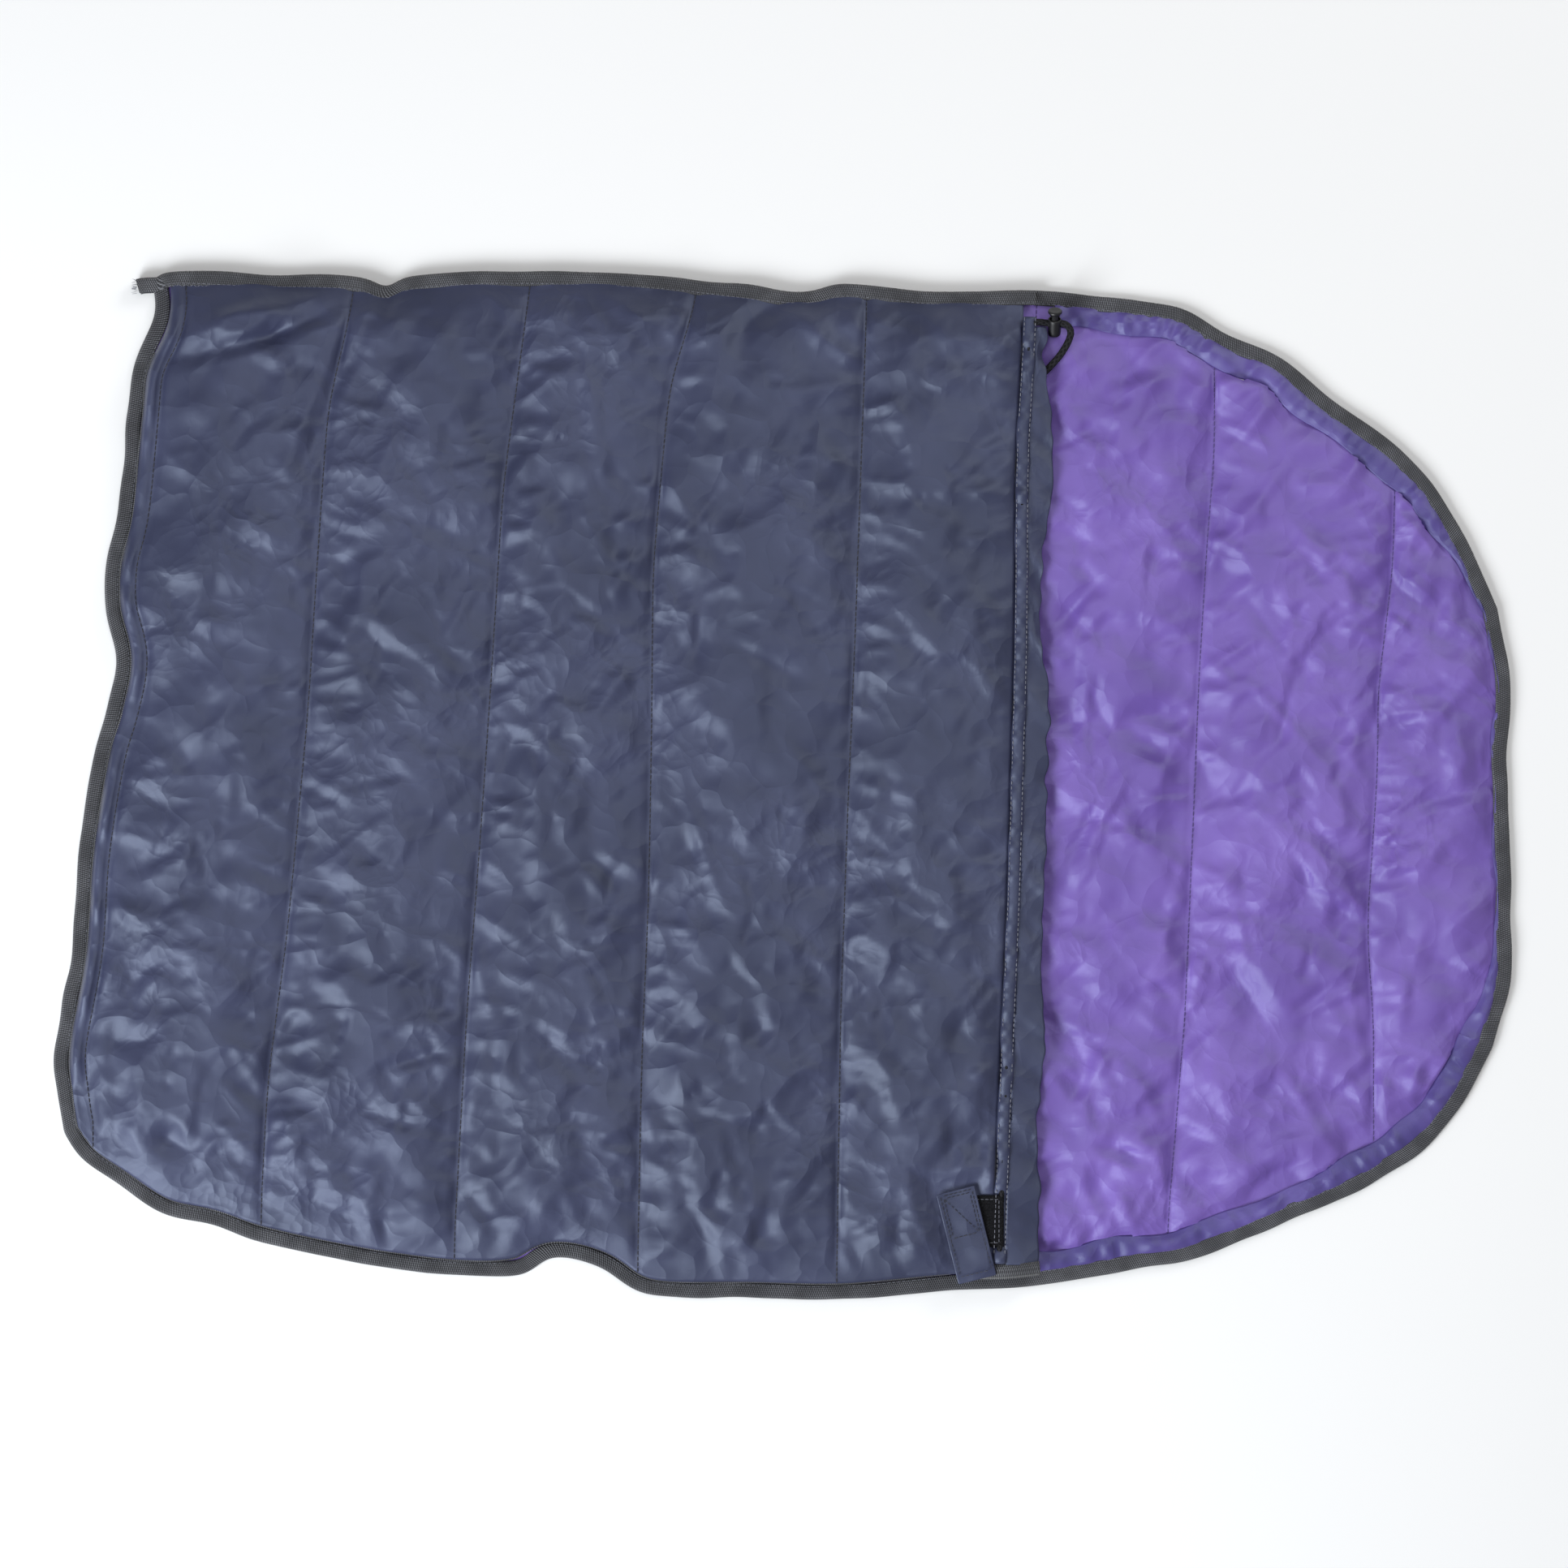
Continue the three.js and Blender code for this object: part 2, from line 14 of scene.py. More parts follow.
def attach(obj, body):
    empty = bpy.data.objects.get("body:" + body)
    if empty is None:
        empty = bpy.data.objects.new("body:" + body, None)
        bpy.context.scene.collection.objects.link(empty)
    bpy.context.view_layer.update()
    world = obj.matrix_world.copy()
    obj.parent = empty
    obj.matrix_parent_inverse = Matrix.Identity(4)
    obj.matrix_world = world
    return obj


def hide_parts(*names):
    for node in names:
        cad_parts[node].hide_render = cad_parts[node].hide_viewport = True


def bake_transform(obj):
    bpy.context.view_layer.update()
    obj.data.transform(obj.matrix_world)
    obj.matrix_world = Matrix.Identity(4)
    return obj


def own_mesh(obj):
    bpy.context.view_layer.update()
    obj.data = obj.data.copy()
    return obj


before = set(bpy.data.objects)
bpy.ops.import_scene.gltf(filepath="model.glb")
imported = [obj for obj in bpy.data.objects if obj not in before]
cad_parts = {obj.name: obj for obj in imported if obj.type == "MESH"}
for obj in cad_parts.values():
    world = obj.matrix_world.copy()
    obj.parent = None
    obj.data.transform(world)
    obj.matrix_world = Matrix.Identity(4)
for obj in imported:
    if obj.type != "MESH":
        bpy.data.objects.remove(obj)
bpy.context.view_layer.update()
MM = 0.001

# Outline of the base, as stretches of [along, across].
FOLD_SIDE = [
    (-452, 359), (-440, 367), (-374, 365), (-304, 363), (-284, 355), (-268, 363), (-200, 367),
    (-96, 364), (9, 353), (44, 358), (113, 352), (183, 353), (252, 346), (287, 340), (322, 320),
    (357, 305), (391, 276), (426, 252), (461, 221), (479, 194), (497, 160), (512, 125),
]
ZIP_SIDE = [
    (-516, -250), (-502, -270), (-478, -287), (-444, -309), (-409, -317), (-374, -329),
    (-304, -344), (-235, -353), (-190, -352), (-165, -340), (-131, -347), (-96, -367),
    (-26, -369), (44, -370), (113, -364), (183, -360), (252, -348), (287, -343), (322, -331),
    (357, -316), (391, -302), (426, -285), (464, -258), (491, -223), (508, -189),
]
FOOT_END = [
    (-250, -516), (-223, -520), (-188, -522), (-119, -510), (-49, -505), (20, -494), (55, -484),
    (90, -478), (125, -486), (160, -485), (194, -477), (264, -470), (299, -466), (333, -451),
    (358, -452),
]
HEAD_END = [
    (-189, 508), (-154, 519), (-119, 522), (-14, 520), (20, 518), (55, 522), (90, 519), (125, 512),
]

# Quilting seams from the zip side to the fold side, as [y, x].
SEAMS = [
    [(-304, -373), (-212, -368), (-107, -354), (55, -339), (154, -333), (270, -325), (342, -307)],
    [(-328, -235), (-165, -226), (-49, -217), (67, -209), (212, -200), (360, -180)],
    [(-345, -104), (-194, -101), (-78, -96), (38, -94), (154, -93), (287, -81), (345, -61)],
    [(-360, 38), (-165, 41), (-20, 46), (96, 51), (212, 55), (351, 60)],
    [(-350, 160), (350, 182)],
    [(-322, 275), (-165, 288), (-20, 294), (78, 298), (177, 304), (235, 309), (313, 309)],
    [(-275, 423), (-165, 423), (-107, 418), (9, 426), (67, 426), (154, 437), (241, 439)],
]
COVER_SEAMS = 4
MOUTH = [(-350, 149), (-293, 151), (-194, 155), (-78, 160), (96, 165), (235, 166), (336, 172)]
FLAP_EDGE = [
    (-336, 182), (-290, 184), (-249, 181), (-194, 187), (-135, 185), (57, 190), (111, 183),
    (170, 186), (212, 193), (275, 192), (297, 186), (324.5, 188.5),
]

# Heights of the cloth layers at seams and rims, and the sizes of cloth, tape and insets.
BASE_UNDER = 1.7
BASE_RIM = 3.4
BASE_TOP = 3.9
ZIP_BED = 4.0
ZIP_ROOF = 16.1
COVER_UNDER = 17.0
COVER_RIM = 18.2
COVER_TOP = 18.8
SEWN_UNDER = 6.4
SEWN_TOP = 8.2
CLOTH = 0.3
TAPE_WIDTH = 11
TAPE_THICK = 0.9
COVER_INSET = 12.9
FOOT_STITCH = 24

# The tab's hinge line, lean and size, and the middle of the loop patch.
TAB_HINGE = (138, -351.5, 22.5)
TAB_LEAN = math.radians(14)
TAB_SIZE = (28, 63)
PATCH_CENTRE = (138.5, -312.5)

# The cord loop's route through its lock, and the lock's place and tilt.
CORD_D = 5
CASING_WIDTH = 9.6
CASING_Z = 19.2
LOCK_PLACE = (194, 329.5, 17)
LOCK_TILT = 35
CORD_LOOP = [
    (177.8, 328.6, 19.2), (183, 329.2, 18.2), (188.5, 328.7, 16.7), (194, 328.5, 16.3),
    (199, 328.5, 16.3), (203.5, 326.5, 16), (205.5, 321.5, 15.4), (203, 314, 14.6),
    (198, 306, 13.6), (192, 299, 13.2), (186, 293, 13.2), (180, 287, 13.2),
]


# ---- camera, light and floor
def aimed(data, place, target=(0, 0, 0)):
    """An object for a camera or lamp, at a place in metres and turned to look at target."""
    holder = bpy.data.objects.new(data.name, data)
    bpy.context.scene.collection.objects.link(holder)
    holder.location = place
    holder.rotation_mode = "QUATERNION"
    holder.rotation_quaternion = (Vector(target) - Vector(place)).to_track_quat("-Z", "Y")
    return holder


def softbox(name, place, size, power, colour=(1, 1, 1)):
    lamp = bpy.data.lights.new(name, "AREA")
    lamp.shape = "RECTANGLE"
    lamp.size, lamp.size_y = size
    lamp.energy = power
    lamp.color = colour
    aimed(lamp, place)


CAMERA_HEIGHT = 4.0
FRAME_WIDTH = 1.1206
FRAME_CENTRE = (0.0006, -0.0006)
BAG_MIDDLE = 0.015
lens = bpy.data.cameras.new("camera")
lens.lens = lens.sensor_width * (CAMERA_HEIGHT - BAG_MIDDLE) / FRAME_WIDTH
bpy.context.scene.camera = aimed(lens, (*FRAME_CENTRE, CAMERA_HEIGHT), (*FRAME_CENTRE, 0))

softbox("overhead", (0.4, 0.7, 2.8), (1.4, 1.4), 16)
softbox("left_window", (-1.7, -1.6, 1.7), (1.5, 1.5), 94, (0.93, 0.965, 1))
softbox("far_fill", (1.8, 1.9, 1.6), (1.2, 1.2), 24)
world = bpy.data.worlds.new("studio")
bpy.context.scene.world = world
world.use_nodes = True
world.node_tree.nodes["Background"].inputs["Color"].default_value = (1, 1, 1, 1)
world.node_tree.nodes["Background"].inputs["Strength"].default_value = 0.22
bpy.context.scene.view_settings.view_transform = "Standard"


# ---- materials
def surface(name, colour, roughness, **sockets):
    """A Principled material with its plain sockets set."""
    made = bpy.data.materials.new(name)
    made.use_nodes = True
    skin = made.node_tree.nodes["Principled BSDF"]
    skin.inputs["Base Color"].default_value = (*colour, 1)
    skin.inputs["Roughness"].default_value = roughness
    for key, value in sockets.items():
        skin.inputs[key.replace("_", " ")].default_value = value
    return made


def node(made, kind, settings=None, **inputs):
    """A node in a material, with its settings and its inputs, which are values or sockets."""
    fresh = made.node_tree.nodes.new(kind)
    for key, value in (settings or {}).items():
        setattr(fresh, key, value)
    for key, value in inputs.items():
        socket = fresh.inputs[int(key[1:])] if key[0] == "_" else fresh.inputs[key.replace("_", " ")]
        if isinstance(value, bpy.types.NodeSocket):
            made.node_tree.links.new(value, socket)
        else:
            socket.default_value = value
    return fresh.outputs


def into(made, socket, value):
    """Links a value to a socket of the material's shader."""
    skin = made.node_tree.nodes["Principled BSDF"]
    made.node_tree.links.new(value, skin.inputs[socket])


def maths(made, operation, a, b=0.0, c=0.0):
    return node(made, "ShaderNodeMath", {"operation": operation}, _0=a, _1=b, _2=c)[0]


def blended(made, share, low, high):
    """A colour between low and high."""
    mix = made.node_tree.nodes.new("ShaderNodeMix")
    mix.data_type = "RGBA"
    made.node_tree.links.new(share, mix.inputs[0])
    for socket, value in ((mix.inputs[6], low), (mix.inputs[7], high)):
        if isinstance(value, bpy.types.NodeSocket):
            made.node_tree.links.new(value, socket)
        else:
            socket.default_value = (*value, 1)
    return mix.outputs[2]


def ramp(made, value, low, high):
    """value taken from low..high to 0..1, held at both ends."""
    settings = {"interpolation_type": "SMOOTHSTEP"}
    return node(made, "ShaderNodeMapRange", settings, Value=value, From_Min=low, From_Max=high)[0]


def bump(made, height, depth, strength=1.0, under=None):
    """A normal from a height, on top of another normal if one is given."""
    inputs = {"Height": height, "Distance": depth, "Strength": strength}
    if under is not None:
        inputs["Normal"] = under
    return node(made, "ShaderNodeBump", None, **inputs)[0]


def noise(made, where, scale, detail=2.0, roughness=0.5, distortion=0.0):
    return node(made, "ShaderNodeTexNoise", None, Vector=where, Scale=scale, Detail=detail,
                Roughness=roughness, Distortion=distortion)[0]


def by_uv(made):
    return node(made, "ShaderNodeTexCoord")["UV"]


def by_object(made):
    return node(made, "ShaderNodeTexCoord")["Object"]


def taffeta(name, deep, light, roughness, sheen, crease=0.5):
    """Thin shiny nylon, with small facets between its larger folds."""
    made = surface(name, light, roughness, Sheen_Weight=sheen, Sheen_Roughness=0.35,
                   Specular_IOR_Level=0.7, Specular_Tint=(0.72, 0.82, 1, 1))
    where = by_uv(made)
    broad = noise(made, where, 9.0, 3.0, 0.6)
    into(made, "Base Color", blended(made, ramp(made, broad, 0.3, 0.7), deep, light))
    stir = node(made, "ShaderNodeTexNoise", None, Vector=where, Scale=22.0, Detail=2.0)[1]
    bent = node(made, "ShaderNodeVectorMath", {"operation": "MULTIPLY_ADD"},
                _0=stir, _1=(0.035, 0.035, 0.0), _2=where)[0]
    facets = node(made, "ShaderNodeTexVoronoi", {"feature": "F1"}, Vector=bent, Scale=42.0)[0]
    small = node(made, "ShaderNodeTexVoronoi", {"feature": "F1"}, Vector=bent, Scale=110.0)[0]
    patchy = ramp(made, noise(made, where, 8.0), 0.4, 0.65)
    first = bump(made, facets, 0.0045, crease)
    second = bump(made, maths(made, "MULTIPLY", small, patchy), 0.0016, crease, first)
    threads = maths(made, "ADD", weave(made, where, 0), weave(made, where, 1))
    into(made, "Normal", bump(made, threads, 0.00004, 0.35, second))
    into(made, "Roughness", maths(made, "MULTIPLY_ADD", broad, 0.1, roughness - 0.05))
    return made


def weave(made, where, axis, pitch=0.0005):
    """Threads side by side along one direction, as a wave of that pitch."""
    along = node(made, "ShaderNodeSeparateXYZ", None, Vector=where)[axis]
    return maths(made, "SINE", maths(made, "MULTIPLY", along, 2 * math.pi / pitch))


def webbing(name, dark, light, rib=0.0014):
    """Ribbed polyester webbing: ribs across it, in two rows of floats that lean to each other; its
    colour is lighter on the weave's crowns, a painted highlight, and darker in its gaps, painted shade.
    """
    made = surface(name, dark, 0.78, Sheen_Weight=0.25, Sheen_Roughness=0.5)
    where = by_uv(made)
    parts = node(made, "ShaderNodeSeparateXYZ", None, Vector=where)
    lean = maths(made, "ABSOLUTE", maths(made, "SUBTRACT", parts[1], 0.0062))
    along = maths(made, "ADD", parts[0], maths(made, "MULTIPLY", lean, 0.35))
    ribs = maths(made, "SINE", maths(made, "MULTIPLY", along, 2 * math.pi / rib))
    floats = maths(made, "SINE", maths(made, "MULTIPLY", parts[1], 2 * math.pi / 0.0016))
    woven = maths(made, "MULTIPLY_ADD", floats, 0.45, ribs)
    rib_light_patches = ramp(made, noise(made, where, 45.0, 3.0), 0.35, 0.75)
    rib_light_amount = maths(made, "MULTIPLY_ADD", rib_light_patches, 0.7, 0.45)
    # Painted light: where the weave stands up its colour is lighter (painted highlight) and where it
    # dips it is darker (painted shade), more strongly in random patches.
    share = maths(made, "MULTIPLY", ramp(made, woven, -0.5, 1.3), rib_light_amount)
    into(made, "Base Color", blended(made, share, dark, light))
    into(made, "Normal", bump(made, woven, 0.00035, 0.8))
    return made


def braid(name, dark, light, around=6.0, pitch=0.005):
    """Braided cord, from a UV whose u runs along it in metres and whose v goes once round it; its
    strands' colour carries painted highlight and shade.
    """
    made = surface(name, dark, 0.75, Specular_IOR_Level=0.3)
    parts = node(made, "ShaderNodeSeparateXYZ", None, Vector=by_uv(made))
    turn = maths(made, "MULTIPLY", parts[1], 2 * math.pi * around)
    run = maths(made, "MULTIPLY", parts[0], 2 * math.pi / pitch)
    one = maths(made, "SINE", maths(made, "ADD", turn, run))
    two = maths(made, "SINE", maths(made, "SUBTRACT", turn, run))
    strands = maths(made, "MAXIMUM", one, two)
    # Painted light: the strands' crowns are coloured lighter as a painted highlight, and the grooves
    # between them darker as painted shade.
    into(made, "Base Color", blended(made, ramp(made, strands, -0.2, 1.0), dark, light))
    into(made, "Normal", bump(made, strands, 0.0003, 0.9))
    return made


def pile(name, dark, light, depth=0.0006):
    """Black fuzzy loop or hook cloth."""
    made = surface(name, dark, 0.95, Specular_IOR_Level=0.15)
    where = by_object(made)
    fuzz = noise(made, where, 900.0, 4.0, 0.7)
    clump = noise(made, where, 220.0, 2.0)
    into(made, "Base Color", blended(made, ramp(made, fuzz, 0.4, 0.8), dark, light))
    both = maths(made, "MULTIPLY_ADD", fuzz, 0.6, clump)
    into(made, "Normal", bump(made, both, depth, 0.9))
    return made


def moulded(name, colour, roughness=0.38):
    """Moulded black plastic, a little scuffed."""
    made = surface(name, colour, roughness, Specular_IOR_Level=0.5)
    where = by_object(made)
    scuffs = noise(made, where, 400.0, 4.0, 0.65, 0.8)
    into(made, "Roughness", maths(made, "MULTIPLY_ADD", scuffs, 0.3, roughness - 0.1))
    into(made, "Normal", bump(made, noise(made, where, 1600.0), 0.00005, 0.4))
    return made


def worn_metal(name, colour, roughness=0.34):
    """Plated metal with fine scuffs."""
    made = surface(name, colour, roughness, Metallic=1.0)
    where = by_object(made)
    scuffs = noise(made, where, 700.0, 3.0, 0.6)
    into(made, "Roughness", maths(made, "MULTIPLY_ADD", scuffs, 0.25, roughness - 0.1))
    into(made, "Base Color", blended(made, ramp(made, scuffs, 0.3, 0.8), colour,
                                     tuple(c * 1.25 for c in colour)))
    into(made, "Normal", bump(made, scuffs, 0.00004, 0.3))
    return made


def cotton(name, dark, light, scale=500.0):
    """Matt fibre, for thread and wadding."""
    made = surface(name, dark, 0.85, Sheen_Weight=0.2)
    fibre = noise(made, by_object(made), scale, 3.0, 0.6)
    into(made, "Base Color", blended(made, ramp(made, fibre, 0.3, 0.7), dark, light))
    into(made, "Normal", bump(made, fibre, 0.0002, 0.6))
    return made


SLATE = taffeta("slate_taffeta", (0.03, 0.034, 0.073), (0.05, 0.056, 0.112), 0.44, 0.08, 0.5)
VIOLET = taffeta("violet_taffeta", (0.15, 0.086, 0.37), (0.21, 0.125, 0.48), 0.44, 0.1, 0.5)
# The head strip's cloth: violet like the lining, which is its own colour, but darker and greyer, which
# is painted shade.
VIOLET_IN_PAINTED_SHADE = taffeta("strip_taffeta_painted_shade", (0.06, 0.045, 0.19), (0.13, 0.09, 0.34), 0.36, 0.15, 0.5)
WEBBING = webbing("grey_webbing", (0.02, 0.021, 0.026), (0.21, 0.215, 0.24))
ZIP_TAPE = webbing("zip_tape_weave", (0.03, 0.032, 0.042), (0.07, 0.072, 0.09), 0.001)
CORD = braid("black_braid", (0.004, 0.004, 0.005), (0.016, 0.016, 0.02))
PLASTIC = moulded("black_moulding", (0.008, 0.008, 0.01))
COIL = moulded("coil_nylon", (0.02, 0.021, 0.027), 0.42)
LOOPS = pile("black_loops", (0.004, 0.004, 0.005), (0.02, 0.02, 0.024))
HOOKS = moulded("black_hooks", (0.014, 0.014, 0.016), 0.55)
GUNMETAL = worn_metal("gunmetal", (0.28, 0.285, 0.3))
STEEL = worn_metal("spring_wire", (0.55, 0.56, 0.58), 0.28)
DARK_THREAD = cotton("dark_thread", (0.012, 0.012, 0.018), (0.035, 0.035, 0.046))
PALE_THREAD = cotton("pale_thread", (0.13, 0.135, 0.17), (0.25, 0.255, 0.3))
VIOLET_THREAD = cotton("violet_thread", (0.06, 0.035, 0.16), (0.12, 0.08, 0.28))
WADDING = cotton("wadding_fibre", (0.75, 0.75, 0.73), (0.9, 0.9, 0.88), 160.0)


# ---- curves and grids
def ripple(x, y, wavelength, seed, waves=24):
    """A smooth random field of unit size: waves of about one length in random directions."""
    rng = np.random.default_rng(seed)
    total = np.zeros(np.broadcast(x, y).shape)
    for _ in range(waves):
        turn, phase = rng.uniform(0, 2 * math.pi, 2)
        number = 2 * math.pi / (wavelength * rng.uniform(0.7, 1.4))
        total += np.cos(number * (x * math.cos(turn) + y * math.sin(turn)) + phase)
    return total * math.sqrt(2 / waves)


def run_of(points):
    """Distance along a run of points, from its start."""
    return np.concatenate([[0], np.cumsum(np.linalg.norm(np.diff(points, axis=0), axis=1))])


def bell(blur, span):
    """Weights that smooth a row of values."""
    weights = np.exp(-0.5 * (np.arange(-span, span + 1) / blur) ** 2)
    return weights / weights.sum()


def ease(value, low, high):
    """0 up to low, 1 from high on, and smooth between them."""
    share = np.clip((value - low) / (high - low), 0, 1)
    return share * share * (3 - 2 * share)


def table(points, blur=12):
    """A smoothed reading of [along, value] points, held level past both ends."""
    points = np.array(points, float)
    along = np.arange(points[0, 0] - 60, points[-1, 0] + 61)
    span = 3 * blur
    raw = np.pad(np.interp(along, *points.T), span, mode="edge")
    value = np.convolve(raw, bell(blur, span), "valid")
    return lambda at: np.interp(at, along, value)


PLAN_STEP = 2.0
stretches = {
    "zip": np.array(ZIP_SIDE, float),
    "head": np.array(HEAD_END, float)[:, ::-1],
    "fold": np.array(FOLD_SIDE, float)[::-1],
    "foot": np.array(FOOT_END, float)[::-1, ::-1],
}


def smooth_run(points, steps):
    """A smooth curve through points in evenly long steps, and its length."""
    points = np.array(points, float)
    padded = np.concatenate([[2 * points[0] - points[1]], points, [2 * points[-1] - points[-2]]])
    out = []
    for k in range(1, len(padded) - 2):
        a, b, c, d = padded[k - 1:k + 3]
        for t in np.linspace(0, 1, 20, endpoint=False):
            out.append(0.5 * (2 * b + (c - a) * t + (2 * a - 5 * b + 4 * c - d) * t ** 2
                              + (3 * b - a - 3 * c + d) * t ** 3))
    out = np.array([*out, points[-1]])
    run = run_of(out)
    at = np.linspace(0, run[-1], steps)
    return np.stack([np.interp(at, run, out[:, k]) for k in range(out.shape[1])], 1), run[-1]


def closed_outline(blur=2.5):
    """Even points round the base's outer edge, anticlockwise, and where each stretch starts."""
    corners = np.concatenate([*stretches.values(), [ZIP_SIDE[0]]])
    length = np.linalg.norm(np.diff(corners, axis=0), axis=1).sum()
    points = smooth_run(corners, round(length / PLAN_STEP))[0][:-1]
    span = 10
    wrapped = np.pad(points, ((span, span), (0, 0)), mode="wrap")
    points = np.stack([np.convolve(wrapped[:, k], bell(blur, span), "valid") for k in (0, 1)], 1)
    starts = [int(np.argmin(np.linalg.norm(points - s[0], axis=1))) for s in stretches.values()]
    return points, [0, *starts[1:]]


def normals_of(points, closed=False):
    """Unit normals to the left of a run of plan points."""
    if closed:
        ahead = np.roll(points, -1, 0) - np.roll(points, 1, 0)
    else:
        ahead = np.gradient(points, axis=0)
    ahead = ahead / np.linalg.norm(ahead, axis=1, keepdims=True)
    return np.stack([-ahead[:, 1], ahead[:, 0]], 1)


outline, stretch_starts = closed_outline()
outline_normals = normals_of(outline, True)


def outline_run(first, last, step=1):
    """Plan points and normals of the outline, between two of its places, going anticlockwise."""
    if last < first:
        last += len(outline)
    picked = np.arange(first, last + 1, step) % len(outline)
    return outline[picked], outline_normals[picked]


def nearest(x, y):
    """Number of the outline point closest to a place."""
    return int(np.argmin(np.hypot(outline[:, 0] - x, outline[:, 1] - y)))


def inset_of(x, y):
    """Distance in from the outline, and the number of the nearest outline point."""
    flat_x, flat_y = np.ravel(x), np.ravel(y)
    away = np.hypot(flat_x[:, None] - outline[None, ::2, 0], flat_y[:, None] - outline[None, ::2, 1])
    nearest_one = away.argmin(1)
    return away.min(1).reshape(np.shape(x)), 2 * nearest_one.reshape(np.shape(x))


def edge(name, inset):
    """Reading of one side of the outline, moved inwards: y by x on the long sides, x by y else."""
    order = list(stretches)
    first = stretch_starts[order.index(name)]
    last = [*stretch_starts, len(outline)][order.index(name) + 1]
    picked = np.arange(first, last + 1) % len(outline)
    line = outline[picked] + outline_normals[picked] * inset
    along, value = (0, 1) if name in ("zip", "fold") else (1, 0)
    line = line[np.argsort(line[:, along])]
    return lambda at: np.interp(at, line[:, along], line[:, value])


def panel(curves, bottom, top, step, across):
    """Grid of x and y between the curves x(y), with a column on each, and the kept columns."""
    columns, kept = [], []
    for left, right in zip(curves[:-1], curves[1:]):
        count = max(2, round(abs(float(right(0.0)) - float(left(0.0))) / step))
        kept.append(len(columns))
        columns += [(left, right, k / count) for k in range(count)]
    kept.append(len(columns))
    columns.append((curves[-2], curves[-1], 1.0))
    share = np.linspace(0, 1, round(700 / across) + 1)[None, :]
    y = np.repeat(-350 + 700 * share, len(columns), 0)
    x = np.zeros_like(y)
    for _ in range(14):
        for k, (left, right, part) in enumerate(columns):
            x[k] = left(y[k]) * (1 - part) + right(y[k]) * part
        y = bottom(x) * (1 - share) + top(x) * share
    return x, y, kept


def crown(shape, kept, rows_flat, power=0.75):
    """0 on kept columns and rim rows, rising to 1 in the middle of each channel."""
    full = np.zeros(shape)
    for first, last in zip(kept[:-1], kept[1:]):
        full[first:last + 1] = np.sin(np.linspace(0, math.pi, last - first + 1))[:, None] ** power
    rows = np.arange(shape[1])
    rim = np.minimum(rows, rows[::-1]) / rows_flat
    return full * ease(rim, 0, 1)[None, :] ** 0.6


def finer(grid):
    """The grid with a point added midway between all neighbours, on a smooth curve."""
    for axis in (0, 1):
        grid = np.moveaxis(grid, axis, 0)
        padded = np.concatenate([2 * grid[:1] - grid[1:2], grid, 2 * grid[-1:] - grid[-2:-1]])
        out = np.empty((2 * len(grid) - 1, *grid.shape[1:]))
        out[::2] = grid
        out[1::2] = (9 * (padded[1:-2] + padded[2:-1]) - padded[:-3] - padded[3:]) / 16
        grid = np.moveaxis(out, 0, axis)
    return grid


def scattered(seed, count, low, high, reach, likely):
    """Creases all over an area: x, y, turn, length, reach, height and bend of each."""
    rng = np.random.default_rng(seed)
    marks = []
    while len(marks) < count:
        x, y = rng.uniform(low, high)
        if rng.random() > likely(x, y):
            continue
        wide = rng.uniform(*reach)
        height = wide * rng.uniform(0.1, 0.27) * rng.choice([1, 1, -1])
        marks.append((x, y, rng.uniform(0, math.pi), rng.uniform(25, 95), wide, height,
                      rng.normal(0, 0.004)))
    return marks


def puckers(seed, curves, low, high, spacing, reach):
    """Short creases that fan out from both sides of each seam."""
    rng = np.random.default_rng(seed)
    marks = []
    for curve in curves:
        for side in (-1, 1):
            at = low
            while at < high:
                at += 5 + rng.exponential(spacing)
                length = rng.uniform(16, 62)
                turn = rng.normal(0, 0.5)
                wide = rng.uniform(*reach)
                middle = 0.36 * length
                marks.append((float(curve(at)) + side * math.cos(turn) * middle,
                              at + math.sin(turn) * middle, side * turn, length, wide,
                              wide * rng.uniform(0.16, 0.34), rng.normal(0, 0.004)))
    return marks


def crumple(grid, kept, marks, rows_flat, strength=1.0):
    """Adds tent-shaped creases to the heights of a grid, and none on its seams and rims."""
    x, y = grid[..., 0], grid[..., 1]
    total = np.zeros(x.shape)
    for at_x, at_y, turn, length, reach, height, bend in marks:
        half_length = length / 2
        near = np.nonzero((np.abs(x - at_x) < half_length) & (np.abs(y - at_y) < half_length))
        dx, dy = x[near] - at_x, y[near] - at_y
        along = dx * math.cos(turn) + dy * math.sin(turn)
        off = dy * math.cos(turn) - dx * math.sin(turn) + bend * along ** 2
        tent = np.clip(1 - np.abs(off) / reach, 0, 1)
        total[near] += height * tent * np.clip(1 - (along / half_length) ** 2, 0, 1)
    swell = 0.9 * ripple(x, y, 75, len(marks)) + 0.5 * ripple(x, y, 38, len(marks) + 1)
    out = grid.copy()
    out[..., 2] += strength * crown(x.shape, kept, rows_flat, 0.3) * (total + swell)
    return out


# ---- cloth
def grid_faces(columns, rows):
    """Faces between the points of a grid."""
    at = np.arange(columns * rows).reshape(columns, rows)
    return np.stack([at[:-1, :-1], at[1:, :-1], at[1:, 1:], at[:-1, 1:]], -1).reshape(-1, 4)


def new_mesh(name, points, faces):
    """An object from points in millimetres."""
    data = bpy.data.meshes.new(name)
    data.from_pydata((np.asarray(points).reshape(-1, 3) * MM).tolist(), [], [list(f) for f in faces])
    data.update()
    made = bpy.data.objects.new(name, data)
    bpy.context.scene.collection.objects.link(made)
    return made


